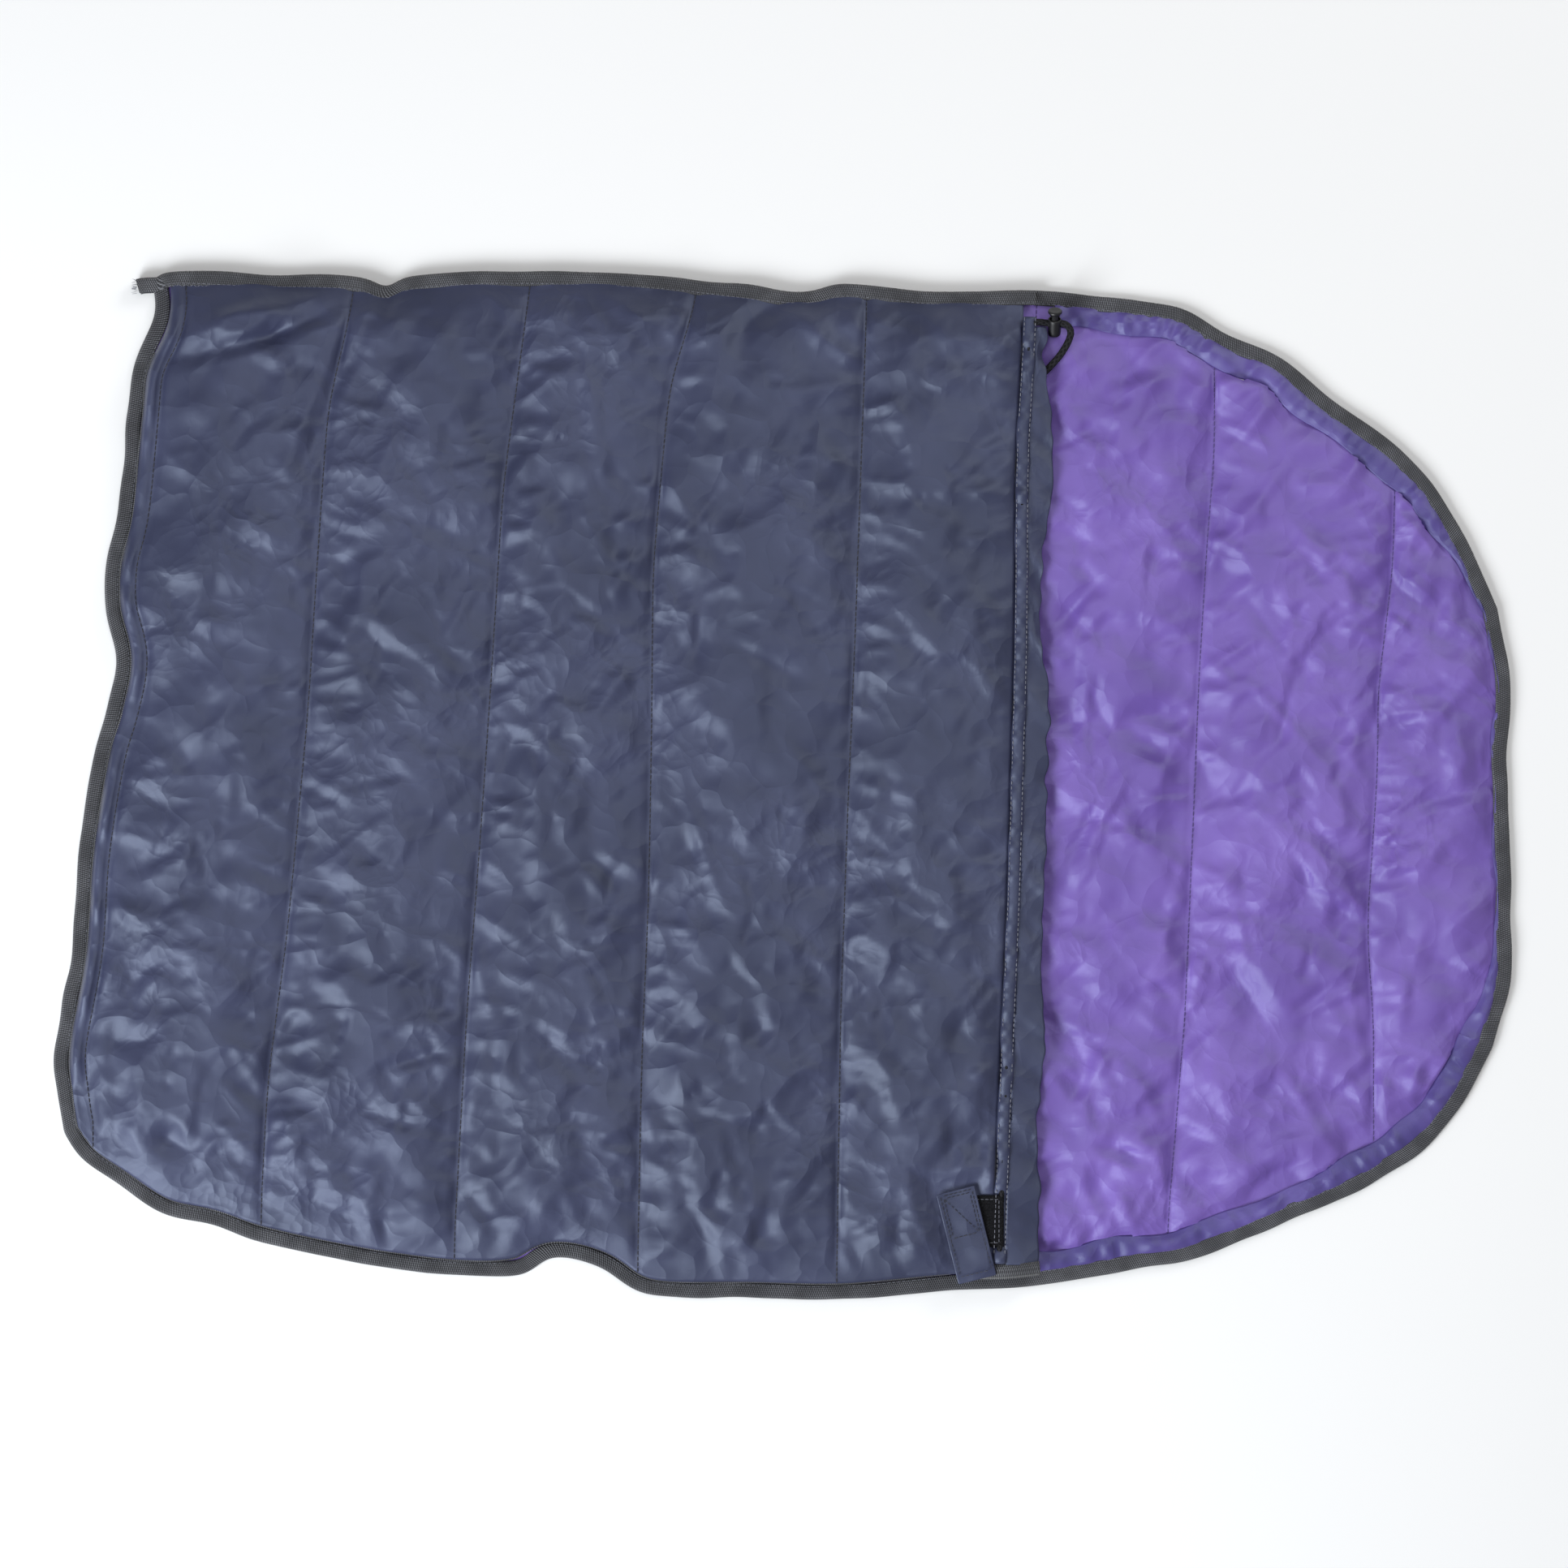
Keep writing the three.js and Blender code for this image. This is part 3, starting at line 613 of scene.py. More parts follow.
def final_mesh(made):
    """The object's mesh with its modifiers applied."""
    bpy.context.view_layer.update()
    evaluated = made.evaluated_get(bpy.context.evaluated_depsgraph_get())
    applied = bpy.data.meshes.new_from_object(evaluated)
    made.modifiers.clear()
    if made.data.shape_keys:
        made.shape_key_clear()
    made.data = applied
    return made


def dressed(made, material):
    """Gives a mesh its material and soft shading."""
    made.data.polygons.foreach_set("use_smooth", [True] * len(made.data.polygons))
    made.data.materials.append(material)
    return made


def unwrap(made, places):
    """Gives a mesh its UV, from one place for each of its points."""
    layer = made.data.uv_layers.new(name="flat")
    corners = np.zeros(len(made.data.loops), int)
    made.data.loops.foreach_get("vertex_index", corners)
    layer.data.foreach_set("uv", places[corners].ravel().tolist())


def loft_faces(rings, sides, first=0, flipped=False):
    """Faces of a stack of rings of points, closed at both ends."""
    at = first + np.arange(rings * sides).reshape(rings, sides)
    after = np.roll(at, -1, 1)
    around = np.stack([at[:-1], after[:-1], after[1:], at[1:]], -1).reshape(-1, 4)
    faces = [*around.tolist(), at[0, ::-1].tolist(), at[-1].tolist()]
    return [face[:1] + face[:0:-1] for face in faces] if flipped else faces


def rim_of(grid):
    """The values round the rim of a grid, in order."""
    return np.concatenate([grid[:, 0], grid[-1, 1:], grid[-2::-1, -1], grid[0, -2:0:-1]])


def drape(start, pinned, excess, warp, pressure, seed, frames=24):
    """Runs Blender's Cloth on a grid of points, cut larger than the room it is sewn into.

    excess is how much larger along x and y, and warp how unevenly. Pinned points stay.
    """
    x, y = start[..., 0], start[..., 1]
    cut = start.copy()
    cut[..., 0] = x * (1 + excess[0]) + warp * ripple(x, y, 90, seed)
    cut[..., 1] = y * (1 + excess[1]) + warp * ripple(x, y, 90, seed + 1)
    sheet = new_mesh("draping", start, grid_faces(*start.shape[:2]))
    sheet.shape_key_add(name="sewn")
    rest = sheet.shape_key_add(name="cut")
    rest.data.foreach_set("co", (cut.reshape(-1) * MM).tolist())
    rest.value = 0
    pins = sheet.vertex_groups.new(name="pins")
    pins.add(np.flatnonzero(pinned.ravel()).tolist(), 1.0, "REPLACE")
    cloth = sheet.modifiers.new("cloth", "CLOTH")
    cloth.settings.rest_shape_key = rest
    cloth.settings.vertex_group_mass = "pins"
    cloth.settings.quality = 5
    cloth.settings.mass = 0.15
    cloth.settings.tension_stiffness = 15
    cloth.settings.compression_stiffness = 15
    cloth.settings.shear_stiffness = 5
    cloth.settings.bending_stiffness = 0.02
    cloth.settings.air_damping = 2
    cloth.settings.use_pressure = True
    cloth.settings.uniform_pressure_force = pressure
    cloth.settings.effector_weights.gravity = 0
    cloth.collision_settings.use_collision = False
    cloth.point_cache.frame_end = frames
    scene = bpy.context.scene
    for frame_number in range(1, frames + 1):
        scene.frame_set(frame_number)
    final_mesh(sheet)
    settled = np.zeros(start.size)
    sheet.data.vertices.foreach_get("co", settled)
    bpy.data.objects.remove(sheet)
    scene.frame_set(1)
    return settled.reshape(start.shape) / MM


def cloth_piece(name, grid, flat, material, thickness=CLOTH, levels=1):
    """A closed sheet from a grid of points, its UV being its flat place in metres."""
    made = new_mesh(name, grid, grid_faces(*grid.shape[:2]))
    unwrap(made, flat.reshape(-1, 2) * MM)
    dressed(made, material)
    if levels:
        smoothed = made.modifiers.new("fine", "SUBSURF")
        smoothed.levels = smoothed.render_levels = levels
    shell = made.modifiers.new("thick", "SOLIDIFY")
    shell.thickness = thickness * MM
    shell.offset = -1
    return final_mesh(made)


def settle(made, body, slot, *nodes):
    """Puts a finished piece on its body and hides the CAD nodes that it stands for. slot is not used."""
    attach(made, body)
    if nodes:
        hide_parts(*nodes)


def across_hinge(made, slot, *nodes):
    """A cover piece whose far edge is sewn to the base: its place is baked into its mesh, and the CAD
    nodes that it stands for are hidden.
    """
    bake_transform(made)
    if nodes:
        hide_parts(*nodes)


# Route of the zip, from the foot round its corner to the mouth.
ZIP_START = np.array([145, -343.0])
ZIP_TURN = np.array([-375, -309.0])
ZIP_CORNER = [(-501, -190), (-497, -222), (-484, -248), (-462, -270), (-430, -291), (-400, -303)]
ZIP_MID = 9.9
zip_ahead = (ZIP_START - ZIP_TURN) / np.linalg.norm(ZIP_START - ZIP_TURN)
foot_zip = [(np.interp(v, *np.array(FOOT_END, float).T) + 19, v)
            for v in (322, 264, 194, 125, 90, 55, 20, -49, -119)]


def zip_path(extra):
    """Plan points and normals along the zip, ending extra past its start at the mouth."""
    corners = np.array([*foot_zip, *ZIP_CORNER, ZIP_TURN, ZIP_START + zip_ahead * extra], float)
    run = run_of(corners)
    at = np.linspace(0, run[-1], round(run[-1] / 3))
    path = np.stack([np.interp(at, run, corners[:, k]) for k in (0, 1)], 1)
    return path, normals_of(path)


zip_line = zip_path(14)[0]


def off_zip(x, y):
    """0 beside the zip and 1 clear of it, where the linings may rise."""
    flat_x, flat_y = np.ravel(x), np.ravel(y)
    away = np.hypot(flat_x[:, None] - zip_line[None, ::2, 0], flat_y[:, None] - zip_line[None, ::2, 1])
    return ease(away.min(1).reshape(np.shape(x)), 16, 36)


# Grid of the base: finer for the lining, which shows, and coarser for the shell beneath it.
seam_curves = [table(s, 18) for s in SEAMS]
mouth = table(MOUTH, 18)
flap_edge = table(FLAP_EDGE, 8)
head_inset = 1.6


def base_panel(step, across):
    """The base's grid, from rim to rim."""
    curves = [edge("foot", head_inset), *seam_curves, edge("head", head_inset)]
    return panel(curves, edge("zip", head_inset), edge("fold", head_inset), step, across)


def pin_rim(x, kept):
    """Marks the sewn points of a grid: its rim and its seams."""
    pinned = np.zeros(x.shape, bool)
    pinned[kept] = True
    pinned[:, [0, -1]] = True
    return pinned


def sew_in(x, y, height, pinned, kept, excess, *settings):
    """Drapes a grid and makes it finer: its points, their flat places and the kept columns."""
    settled = drape(np.stack([x, y, height], -1), pinned, excess, *settings)
    return finer(settled), finer(np.stack([x, y], -1)), [2 * k for k in kept]


strip_first, strip_last = nearest(184, -360), nearest(196, 353)
strip_path, strip_across = outline_run(strip_first, strip_last)
slim = 1 - ease(strip_path[:, 0], 470, 508) * (1 - ease(-strip_path[:, 1], 110, 190))
strip_reach = 2 + 14 * slim + 1.6 * ripple(strip_path[:, 0], strip_path[:, 1], 60, 45)
strip_edge = np.zeros(len(outline))
strip_edge[np.arange(strip_first, strip_first + len(strip_path)) % len(outline)] = 9.5 + strip_reach

# How much larger than its room each cloth is cut, along x and along y.
LINING_EXCESS = (0.02, 0.02)
SHELL_EXCESS = (0.012, 0.012)
COVER_EXCESS = (0.03, 0.03)
INNER_EXCESS = (0.015, 0.015)

x, y, kept = base_panel(5.2, 5.2)
inset, beside = inset_of(x, y)
under_strip = inset < strip_edge[beside]
full = crown(x.shape, kept, 9, 0.42)
clear = ease(inset - strip_edge[beside], -1, 26) ** 0.6
full = np.where(x > 190, full * clear, full)
level = BASE_RIM + (BASE_TOP - BASE_RIM) * ease(inset, 2, 20)
height = level + 5.2 * full + 0.3 * full * ripple(x, y, 30, 11)
pinned = pin_rim(x, kept) | (under_strip & (x > 200))
settled, flat, kept = sew_in(x, y, height, pinned, kept, LINING_EXCESS, 0.9, 0.8, 21)
marks = scattered(71, 460, (-500, -350), (520, 350), (5, 15), lambda x, y: 1.0 if x > 150 else 0.25)
marks += puckers(72, seam_curves, -340, 340, 16, (4, 8))
marks += [
    (380, -52, -0.75, 95, 12, 3.2, 0.002), (404, -84, -0.6, 80, 9, 2.6, -0.003),
    (216, 60, 1.5, 190, 8, 2.2, 0.0004), (222, -40, 1.2, 120, 8, 2.4, 0.001),
    (232, -270, -0.35, 130, 9, 2.6, 0), (330, 190, 0.9, 120, 8, 1.8, 0),
]
settled = crumple(settled, kept, marks, 14, 1.8)
fine_x, fine_y = settled[..., 0], settled[..., 1]
inset, beside = inset_of(fine_x, fine_y)
limit = 10.4 + 3.8 * ease(fine_x, 195, 235)
limit = np.minimum(limit, 4.2 + 11 * ease(inset, 12, 30))
limit = np.minimum(limit, ZIP_BED + 11 * off_zip(fine_x, fine_y))
covered = (inset < strip_edge[beside]) & (fine_x > 200)
limit = np.where(covered, 4.3, limit)
settled[..., 2] = np.clip(np.minimum(settled[..., 2], limit), 3.0, None)
lining_grid, lining_kept = settled, kept
base_lining = cloth_piece("base_lining_cloth", settled, flat, VIOLET, CLOTH, 0)
settle(base_lining, "root", "lining_cloth", "base_lining")

x, y, kept = base_panel(8.5, 8.5)
full = crown(x.shape, kept, 5)
height = BASE_UNDER - 1.2 * full + 0.15 * full * ripple(x, y, 40, 13)
settled, flat, kept = sew_in(x, y, height, pin_rim(x, kept), kept, SHELL_EXCESS, 0.8, -0.6, 23, 18)
marks = scattered(73, 380, (-500, -350), (520, 350), (8, 16), lambda x, y: 1.0)
marks += puckers(74, seam_curves, -340, 340, 22, (6, 10))
settled = crumple(settled, kept, marks, 10, 0.35)
settled[..., 2] = np.clip(settled[..., 2], 0.45, 2.1)
under_grid, under_kept = settled, kept
base_shell = cloth_piece("base_shell_cloth", settled[::-1], flat[::-1], SLATE, CLOTH, 0)
settle(base_shell, "root", "shell_cloth", "base_shell")


def resample(grid, kept_from, columns, kept_to, rows):
    """Reads a grid at the places of another grid between the same seams."""
    at = np.interp(np.arange(columns), kept_to, kept_from)
    low = np.minimum(np.floor(at).astype(int), len(grid) - 2)
    share = (at - low)[:, None, None]
    picked = grid[low] * (1 - share) + grid[low + 1] * share
    down = np.linspace(0, picked.shape[1] - 1, rows)
    low = np.minimum(np.floor(down).astype(int), picked.shape[1] - 2)
    share = (down - low)[None, :, None]
    return picked[:, low] * (1 - share) + picked[:, low + 1] * share


def wadding(name, upper, lower, body, node_name):
    """A closed pad between two skins, a cloth's thickness clear of both."""
    middle = (upper[..., 2] + lower[..., 2]) / 2
    upper, lower = upper.copy(), lower.copy()
    upper[..., 2] = np.maximum(upper[..., 2] - 2.2, middle + 0.05)
    lower[..., 2] = np.minimum(lower[..., 2] + 1.5, middle - 0.05)
    upper, lower = upper[1:-1, 1:-1], lower[1:-1, 1:-1]
    columns, rows = upper.shape[:2]
    top = grid_faces(columns, rows)
    count = columns * rows
    at = np.arange(count).reshape(columns, rows)
    ring = rim_of(at)
    after = np.roll(ring, -1)
    sides = np.stack([ring + count, after + count, after, ring], -1)
    faces = np.concatenate([top, top[:, ::-1] + count, sides])
    made = new_mesh(name, np.concatenate([upper.reshape(-1, 3), lower.reshape(-1, 3)]), faces)
    dressed(made, WADDING)
    settle(made, body, "wadding", node_name)


columns, rows = under_grid.shape[:2]
wadding("base_wadding", resample(lining_grid, lining_kept, columns, kept, rows), under_grid,
        "root", "base_fill")


# Cover: its shell and lining are sewn to the casing at the mouth and to the base at the fold side.
def cover_panel(step, across, mouth_shift=0.0):
    """The cover's grid, with a column on the stitching along its foot."""
    curves = [edge("foot", COVER_INSET), edge("foot", FOOT_STITCH), *seam_curves[:COVER_SEAMS],
              lambda at: mouth(at) + mouth_shift]
    return panel(curves, edge("zip", COVER_INSET), edge("fold", 4), step, across)


def cover_level(x, y, rim, seam, sewn):
    """Height of the cover's seams: level, dipping at its rim and down to the sewn side."""
    inside = np.minimum(y - edge("zip", COVER_INSET)(x), x - edge("foot", COVER_INSET)(y))
    height = rim + (seam - rim) * ease(inside, 0, 14)
    return sewn + (height - sewn) * ease(edge("fold", 4)(x) - y, 0, 34)


def beside_tab(x, y):
    """Distance outside the loop patch and the tab, which lie flat on the cover."""
    patch_away = np.maximum(np.abs(x - 136) - 18.5, np.abs(y + 312.5) - 18.5)
    tab_away = np.maximum(np.abs(x - 130 - 0.25 * (y + 320) * -1) - 16, np.abs(y + 320) - 33)
    return np.maximum(np.minimum(patch_away, tab_away), 0)


x, y, kept = cover_panel(5.2, 5.2, 0.4)
full = crown(x.shape, kept, 8, 0.42)
full[:kept[1]] *= 0.45
level = cover_level(x, y, COVER_RIM, COVER_TOP, SEWN_TOP)
height = level + 7 * full + 0.5 * full * ripple(x, y, 30, 31)
settled, flat, kept = sew_in(x, y, height, pin_rim(x, kept), kept, COVER_EXCESS, 1.4, 0.8, 33)


def lively(x, y):
    """How likely a crease is at a place on the cover."""
    return 0.3 + 0.7 * ease(-y, -60, 160) + 0.5 * (-200 < x < -100)


marks = scattered(75, 620, (-500, -350), (170, 350), (4.5, 13), lively)
marks += puckers(76, seam_curves[:COVER_SEAMS] + [mouth], -340, 340, 13, (3.5, 8))
marks += [
    (-378, 332, 0.3, 165, 13, 4.5, -0.0008), (-374, 317, 0.3, 150, 9, -4, -0.0008),
    (-336, 274, 1.145, 150, 12, 3.2, 0.0008), (-325, 268, 1.145, 140, 9, -2.6, 0.0008),
    (-300, 130, 1.2, 110, 12, 2.6, 0), (90, 250, 2.0, 120, 13, 2.6, 0.001),
    (-250, 90, -0.6, 130, 9, 2.8, 0.0005), (-60, -40, 1.9, 120, 8, 2.4, 0.001),
]
settled = crumple(settled, kept, marks, 12, 1.25)
fine_x, fine_y = settled[..., 0], settled[..., 1]
level = cover_level(fine_x, fine_y, COVER_RIM, COVER_TOP, SEWN_TOP)
highest = 19.3 + 10.4 * ease(beside_tab(fine_x, fine_y), 0, 26) ** 0.7
settled[..., 2] = np.clip(settled[..., 2], level - 0.6, np.maximum(highest, level))
shell_grid, shell_kept = settled, kept
cover_shell = cloth_piece("cover_shell_cloth", settled, flat, SLATE, CLOTH, 0)
across_hinge(cover_shell, "shell_cloth", "cover_shell", "cover_sewn_edge")

x, y, kept = cover_panel(8.5, 8.5)
full = crown(x.shape, kept, 5, 0.35)
full[:kept[1]] *= 0.3
level = cover_level(x, y, COVER_UNDER, COVER_UNDER, SEWN_UNDER)
height = level - 3.6 * full + 0.2 * full * ripple(x, y, 40, 35)
settled, flat, kept = sew_in(x, y, height, pin_rim(x, kept), kept, INNER_EXCESS, 1.0, -0.8, 37, 18)
marks = scattered(77, 260, (-500, -350), (170, 350), (8, 16), lambda x, y: 1.0)
marks += puckers(78, seam_curves[:COVER_SEAMS], -340, 340, 20, (6, 10))
settled = crumple(settled, kept, marks, 10, -0.75)
fine_x, fine_y = settled[..., 0], settled[..., 1]
level = cover_level(fine_x, fine_y, COVER_UNDER, COVER_UNDER, SEWN_UNDER)
lowest = ZIP_ROOF - 4.0 * off_zip(fine_x, fine_y)
settled[..., 2] = np.clip(settled[..., 2], np.minimum(level, lowest), level + 0.4)
inner_grid, inner_kept = settled, kept
cover_lining = cloth_piece("cover_lining_cloth", settled[::-1], flat[::-1], VIOLET, CLOTH, 0)
across_hinge(cover_lining, "lining_cloth", "cover_lining")
columns, rows = settled.shape[:2]
upper = resample(shell_grid, shell_kept, columns, kept, rows)
keep_rows = int(rows * 0.94)
wadding("cover_wadding", upper[:, :keep_rows], settled[:, :keep_rows], "cover", "cover_fill")


# ---- swept bands
def thick_line(points, thickness):
    """Closed section of even thickness along a line of [inset, z] points."""
    points = np.array(points, float)
    ahead = np.gradient(points, axis=0)
    ahead /= np.linalg.norm(ahead, axis=1, keepdims=True)
    side = np.stack([-ahead[:, 1], ahead[:, 0]], 1) * thickness / 2
    return np.concatenate([points + side, (points - side)[::-1]])


def folded_tape(width, low, high, thickness=TAPE_THICK, bend=5):
    """Section of webbing folded over an edge, open inwards, its outside at inset 0."""
    middle, half = (low + high) / 2, (high - low) / 2 - thickness / 2
    depth = min(half, 2.2)
    arc = [(thickness / 2 + depth * (1 - math.sin(a)), middle + half * math.cos(a))
           for a in np.linspace(0, math.pi, bend + 2)]
    top = [(i, middle + half) for i in np.linspace(width, depth + thickness, 4)]
    foot = [(i, middle - half) for i in np.linspace(depth + thickness, width, 4)]
    return thick_line([*top, *arc, *foot], thickness)


def band(name, path, normals, section, material, lift=0.0, push=0.0):
    """Sections of [inset, z] points, one or one a station, swept along plan points."""
    section = np.broadcast_to(section, (len(path), *section.shape[-2:]))
    count, size = section.shape[:2]
    inset = section[..., 0] + np.broadcast_to(push, count)[:, None]
    height = section[..., 1] + np.broadcast_to(lift, count)[:, None]
    across = path[:, None, :] + normals[:, None, :] * inset[..., None]
    points = np.concatenate([across, height[..., None]], -1)
    made = new_mesh(name, points, loft_faces(count, size, flipped=True))
    along, around = np.meshgrid(run_of(path), run_of(section[0]), indexing="ij")
    unwrap(made, np.stack([along, around], -1).reshape(-1, 2) * MM)
    return dressed(made, material)


def wobble(path, size, wavelength, seed):
    """A small uneven shift for each point of a path."""
    return size * ripple(path[:, 0], path[:, 1], wavelength, seed)


fold_joint = nearest(182, 353)
fold_tail = nearest(-450, 363)
foot_top = nearest(-452, 354)
path, across = outline_run(foot_top, fold_joint)
base_tape = band("base_tape", path, across, folded_tape(TAPE_WIDTH, 0.25, 5.4), WEBBING,
                 np.abs(wobble(path, 0.25, 60, 41)), wobble(path, 0.3, 50, 42))
settle(base_tape, "root", "edge_webbing", "base_edge_tape")

path, across = outline_run(fold_joint, fold_tail)
tail = np.array([[-456, 362.5], [-460, 362], [-463.5, 361]])
path = np.concatenate([path, tail])
across = normals_of(path)
fold_tape = band("fold_tape", path, across, folded_tape(TAPE_WIDTH, 0.25, 10.2), WEBBING,
                 push=wobble(path, 0.4, 60, 43))
settle(fold_tape, "root", "edge_webbing", "fold_edge_tape")

# The cover's own tape hangs at its rim, under the bulge of the shell.
path, across = outline_run(nearest(-470, 318), nearest(184, -358))
out_flat = ease(path[:, 0], 118, 138) * (path[:, 1] < -300)
hanging = [(2.6, 5.8), (2.6, 2.2), (2.2, 0.8), (1.3, 0.2), (0.4, 0.9), (0, 2.4), (0, 6.4)]
hanging = thick_line(hanging, TAPE_THICK) + np.array([12.6, 11.8])
lying = [(10, 2.6), (6.4, 2.6), (3, 2.5), (0.4, 1.3), (3, 0.1), (6.4, 0), (10, 0)]
lying = thick_line(lying, TAPE_THICK) + np.array([8.2, 16.2])
section = hanging + out_flat[:, None, None] * (lying[::-1] - hanging)
cover_tape = band("cover_tape", path, across, section, WEBBING, push=wobble(path, 0.15, 50, 44))
settle(cover_tape, "cover", "edge_webbing", "cover_edge_tape")

# Gathered strip round the head: a soft roll between the tape and the lining's stitched edge.
gather = wobble(strip_path, 0.6, 12, 46) + wobble(strip_path, 0.6, 26, 47)
stations, spokes = len(strip_path), 9
strip = np.zeros((spokes, stations, 3))
for k in range(spokes):
    share = k / (spokes - 1)
    inset = 9.0 + strip_reach * share
    strip[k, :, :2] = strip_path + strip_across * inset[:, None]
    puff = math.sin(math.pi * min(share * 1.1, 1)) ** 0.6
    strip[k, :, 2] = 4.9 + 0.4 * share + (2.0 + gather) * puff * (0.3 + 0.7 * slim)
run = run_of(strip_path)
flat = np.stack(np.broadcast_arrays(run[None, :], (np.arange(spokes) * 2.4)[:, None]), -1)
# The strip's cloth is the violet lining's, darkened as painted shade.
rim_strip = cloth_piece("head_strip", strip[::-1], flat[::-1], VIOLET_IN_PAINTED_SHADE)
settle(rim_strip, "root", "shell_cloth", "head_rim_strip")

# ---- mouth
mouth_y = np.arange(333, -343.1, -2.0)
mouth_line = np.stack([mouth(mouth_y), mouth_y], 1)
mouth_across = normals_of(mouth_line)
half = CASING_WIDTH / 2
ring = np.linspace(0, 2 * math.pi, 20, endpoint=False)
under_patch = 1 - ease(np.abs(mouth_y - PATCH_CENTRE[1]), 18, 24)
tall = 3.1 * (1 - 0.75 * under_patch) * (1 + 0.12 * ripple(mouth_y, 0 * mouth_y, 9, 55))
section = np.zeros((len(mouth_y), len(ring), 2))
section[..., 0] = half - half * np.cos(ring) * 0.98
section[..., 1] = CASING_Z - 1.4 * under_patch[:, None] + tall[:, None] * np.sin(ring)
casing = band("casing", mouth_line, mouth_across, section[:, ::-1], SLATE,
              0.4 * ripple(mouth_y, 0 * mouth_y, 14, 51), wobble(mouth_line, 0.4, 40, 52))
settle(casing, "cover", "shell_cloth", "drawcord_casing")

flap_y = np.arange(-344, 328.1, 2.5)
wide = 9
flap = np.zeros((wide, len(flap_y), 3))
inner_x = mouth(flap_y) + CASING_WIDTH - 0.6
outer_x = flap_edge(flap_y)
for k in range(wide):
    share = k / (wide - 1)
    flap[k, :, 0] = inner_x * (1 - share) + outer_x * share
    flap[k, :, 1] = flap_y
    leant = flap_y + 14 * share
    wave = ripple(leant, 0 * leant, 44, 53) + 0.7 * ripple(leant, 0 * leant, 19, 54)
    flap[k, :, 0] += 0.7 * share * ripple(flap_y, 0 * flap_y, 20, 56)
    flap[k, :, 2] = 19.4 - 3.6 * share ** 1.6 + 1.1 * wave * share ** 0.7
flat = np.stack(np.broadcast_arrays((np.arange(wide) * 2.6)[:, None], flap_y[None, :]), -1)
mouth_flap = cloth_piece("mouth_flap_cloth", flap, flat, SLATE, 0.7)
settle(mouth_flap, "cover", "shell_cloth", "mouth_flap")


# ---- cords and lock
def braided_tube(name, route, diameter, material, sides=20):
    """A cord with raised strands along a route of even steps, closed at both ends."""
    ahead = np.gradient(route, axis=0)
    ahead /= np.linalg.norm(ahead, axis=1, keepdims=True)
    run = run_of(route)
    points = []
    for k, (centre, along) in enumerate(zip(route, ahead)):
        side = np.cross(along, (0, 0, 1.0))
        side /= np.linalg.norm(side)
        top = np.cross(side, along)
        for turn in np.linspace(0, 2 * math.pi, sides, endpoint=False):
            strands = max(math.sin(5 * turn + run[k] * 1.1), math.sin(5 * turn - run[k] * 1.1))
            radius = diameter / 2 * (0.97 + 0.04 * strands)
            if k in (0, len(route) - 1):
                radius *= 0.7
            points.append(centre + radius * (math.cos(turn) * side + math.sin(turn) * top))
    made = new_mesh(name, points, loft_faces(len(route), sides))
    along, around = np.meshgrid(run * MM, np.arange(sides) / sides, indexing="ij")
    unwrap(made, np.stack([along, around], -1).reshape(-1, 2))
    return dressed(made, material)


loop_route, loop_length = smooth_run(CORD_LOOP, 110)
cord_loop = braided_tube("cord_loop", loop_route, CORD_D, CORD)
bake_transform(cord_loop)
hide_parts("drawcord_loop")

inside = np.stack([mouth(mouth_y) + half, mouth_y, 0 * mouth_y + CASING_Z], 1)
drawcord = braided_tube("drawcord_run", inside[6:-2], CORD_D * 0.8, CORD, 10)
settle(drawcord, "cover", "black_cord", "drawcord")


def turned(name, profile, sides=48):
    """A solid of revolution about z, from [radius, z] points that start and end on the axis."""
    points, faces = [], []
    rings = []
    for radius, z in profile:
        if radius == 0:
            rings.append([len(points)])
            points.append((0, 0, z))
        else:
            rings.append(list(range(len(points), len(points) + sides)))
            points += [(radius * math.cos(a), radius * math.sin(a), z)
                       for a in np.linspace(0, 2 * math.pi, sides, endpoint=False)]
    for one, two in zip(rings[:-1], rings[1:]):
        for k in range(sides):
            nxt = (k + 1) % sides
            corners = [one[k % len(one)], one[nxt % len(one)], two[nxt % len(two)], two[k % len(two)]]
            faces.append(list(dict.fromkeys(corners)))
    return new_mesh(name, points, faces)


def smooth_by_angle(made):
    made.data.polygons.foreach_set("use_smooth", [True] * len(made.data.polygons))
    made.data.set_sharp_from_angle(angle=math.radians(35))
    return made


def cut_by(made, tool):
    """Cuts tool out of made, and removes tool."""
    cutter = made.modifiers.new("cut", "BOOLEAN")
    cutter.operation = "DIFFERENCE"
    cutter.solver = "EXACT"
    cutter.object = tool
    final_mesh(made)
    bpy.data.objects.remove(tool)
    return made


def rounded(made, width):
    """Rounds a mesh's sharp edges."""
    edges = made.modifiers.new("round", "BEVEL")
    edges.width = width * MM
    edges.segments = 2
    edges.limit_method = "ANGLE"
    edges.angle_limit = math.radians(40)
    return smooth_by_angle(final_mesh(made))


lock_turn = Matrix.Translation(Vector(LOCK_PLACE) * MM) @ Matrix.Rotation(
    math.radians(LOCK_TILT - 90), 4, "X")


def block(name, size, centre):
    """A box by its size and centre."""
    half_size = np.array(size) / 2
    signs = np.array([(a, b, c) for a in (-1, 1) for b in (-1, 1) for c in (-1, 1)])
    faces = [(0, 1, 3, 2), (4, 6, 7, 5), (0, 4, 5, 1), (2, 3, 7, 6), (0, 2, 6, 4), (1, 5, 7, 3)]
    return new_mesh(name, signs * half_size + np.array(centre), faces)


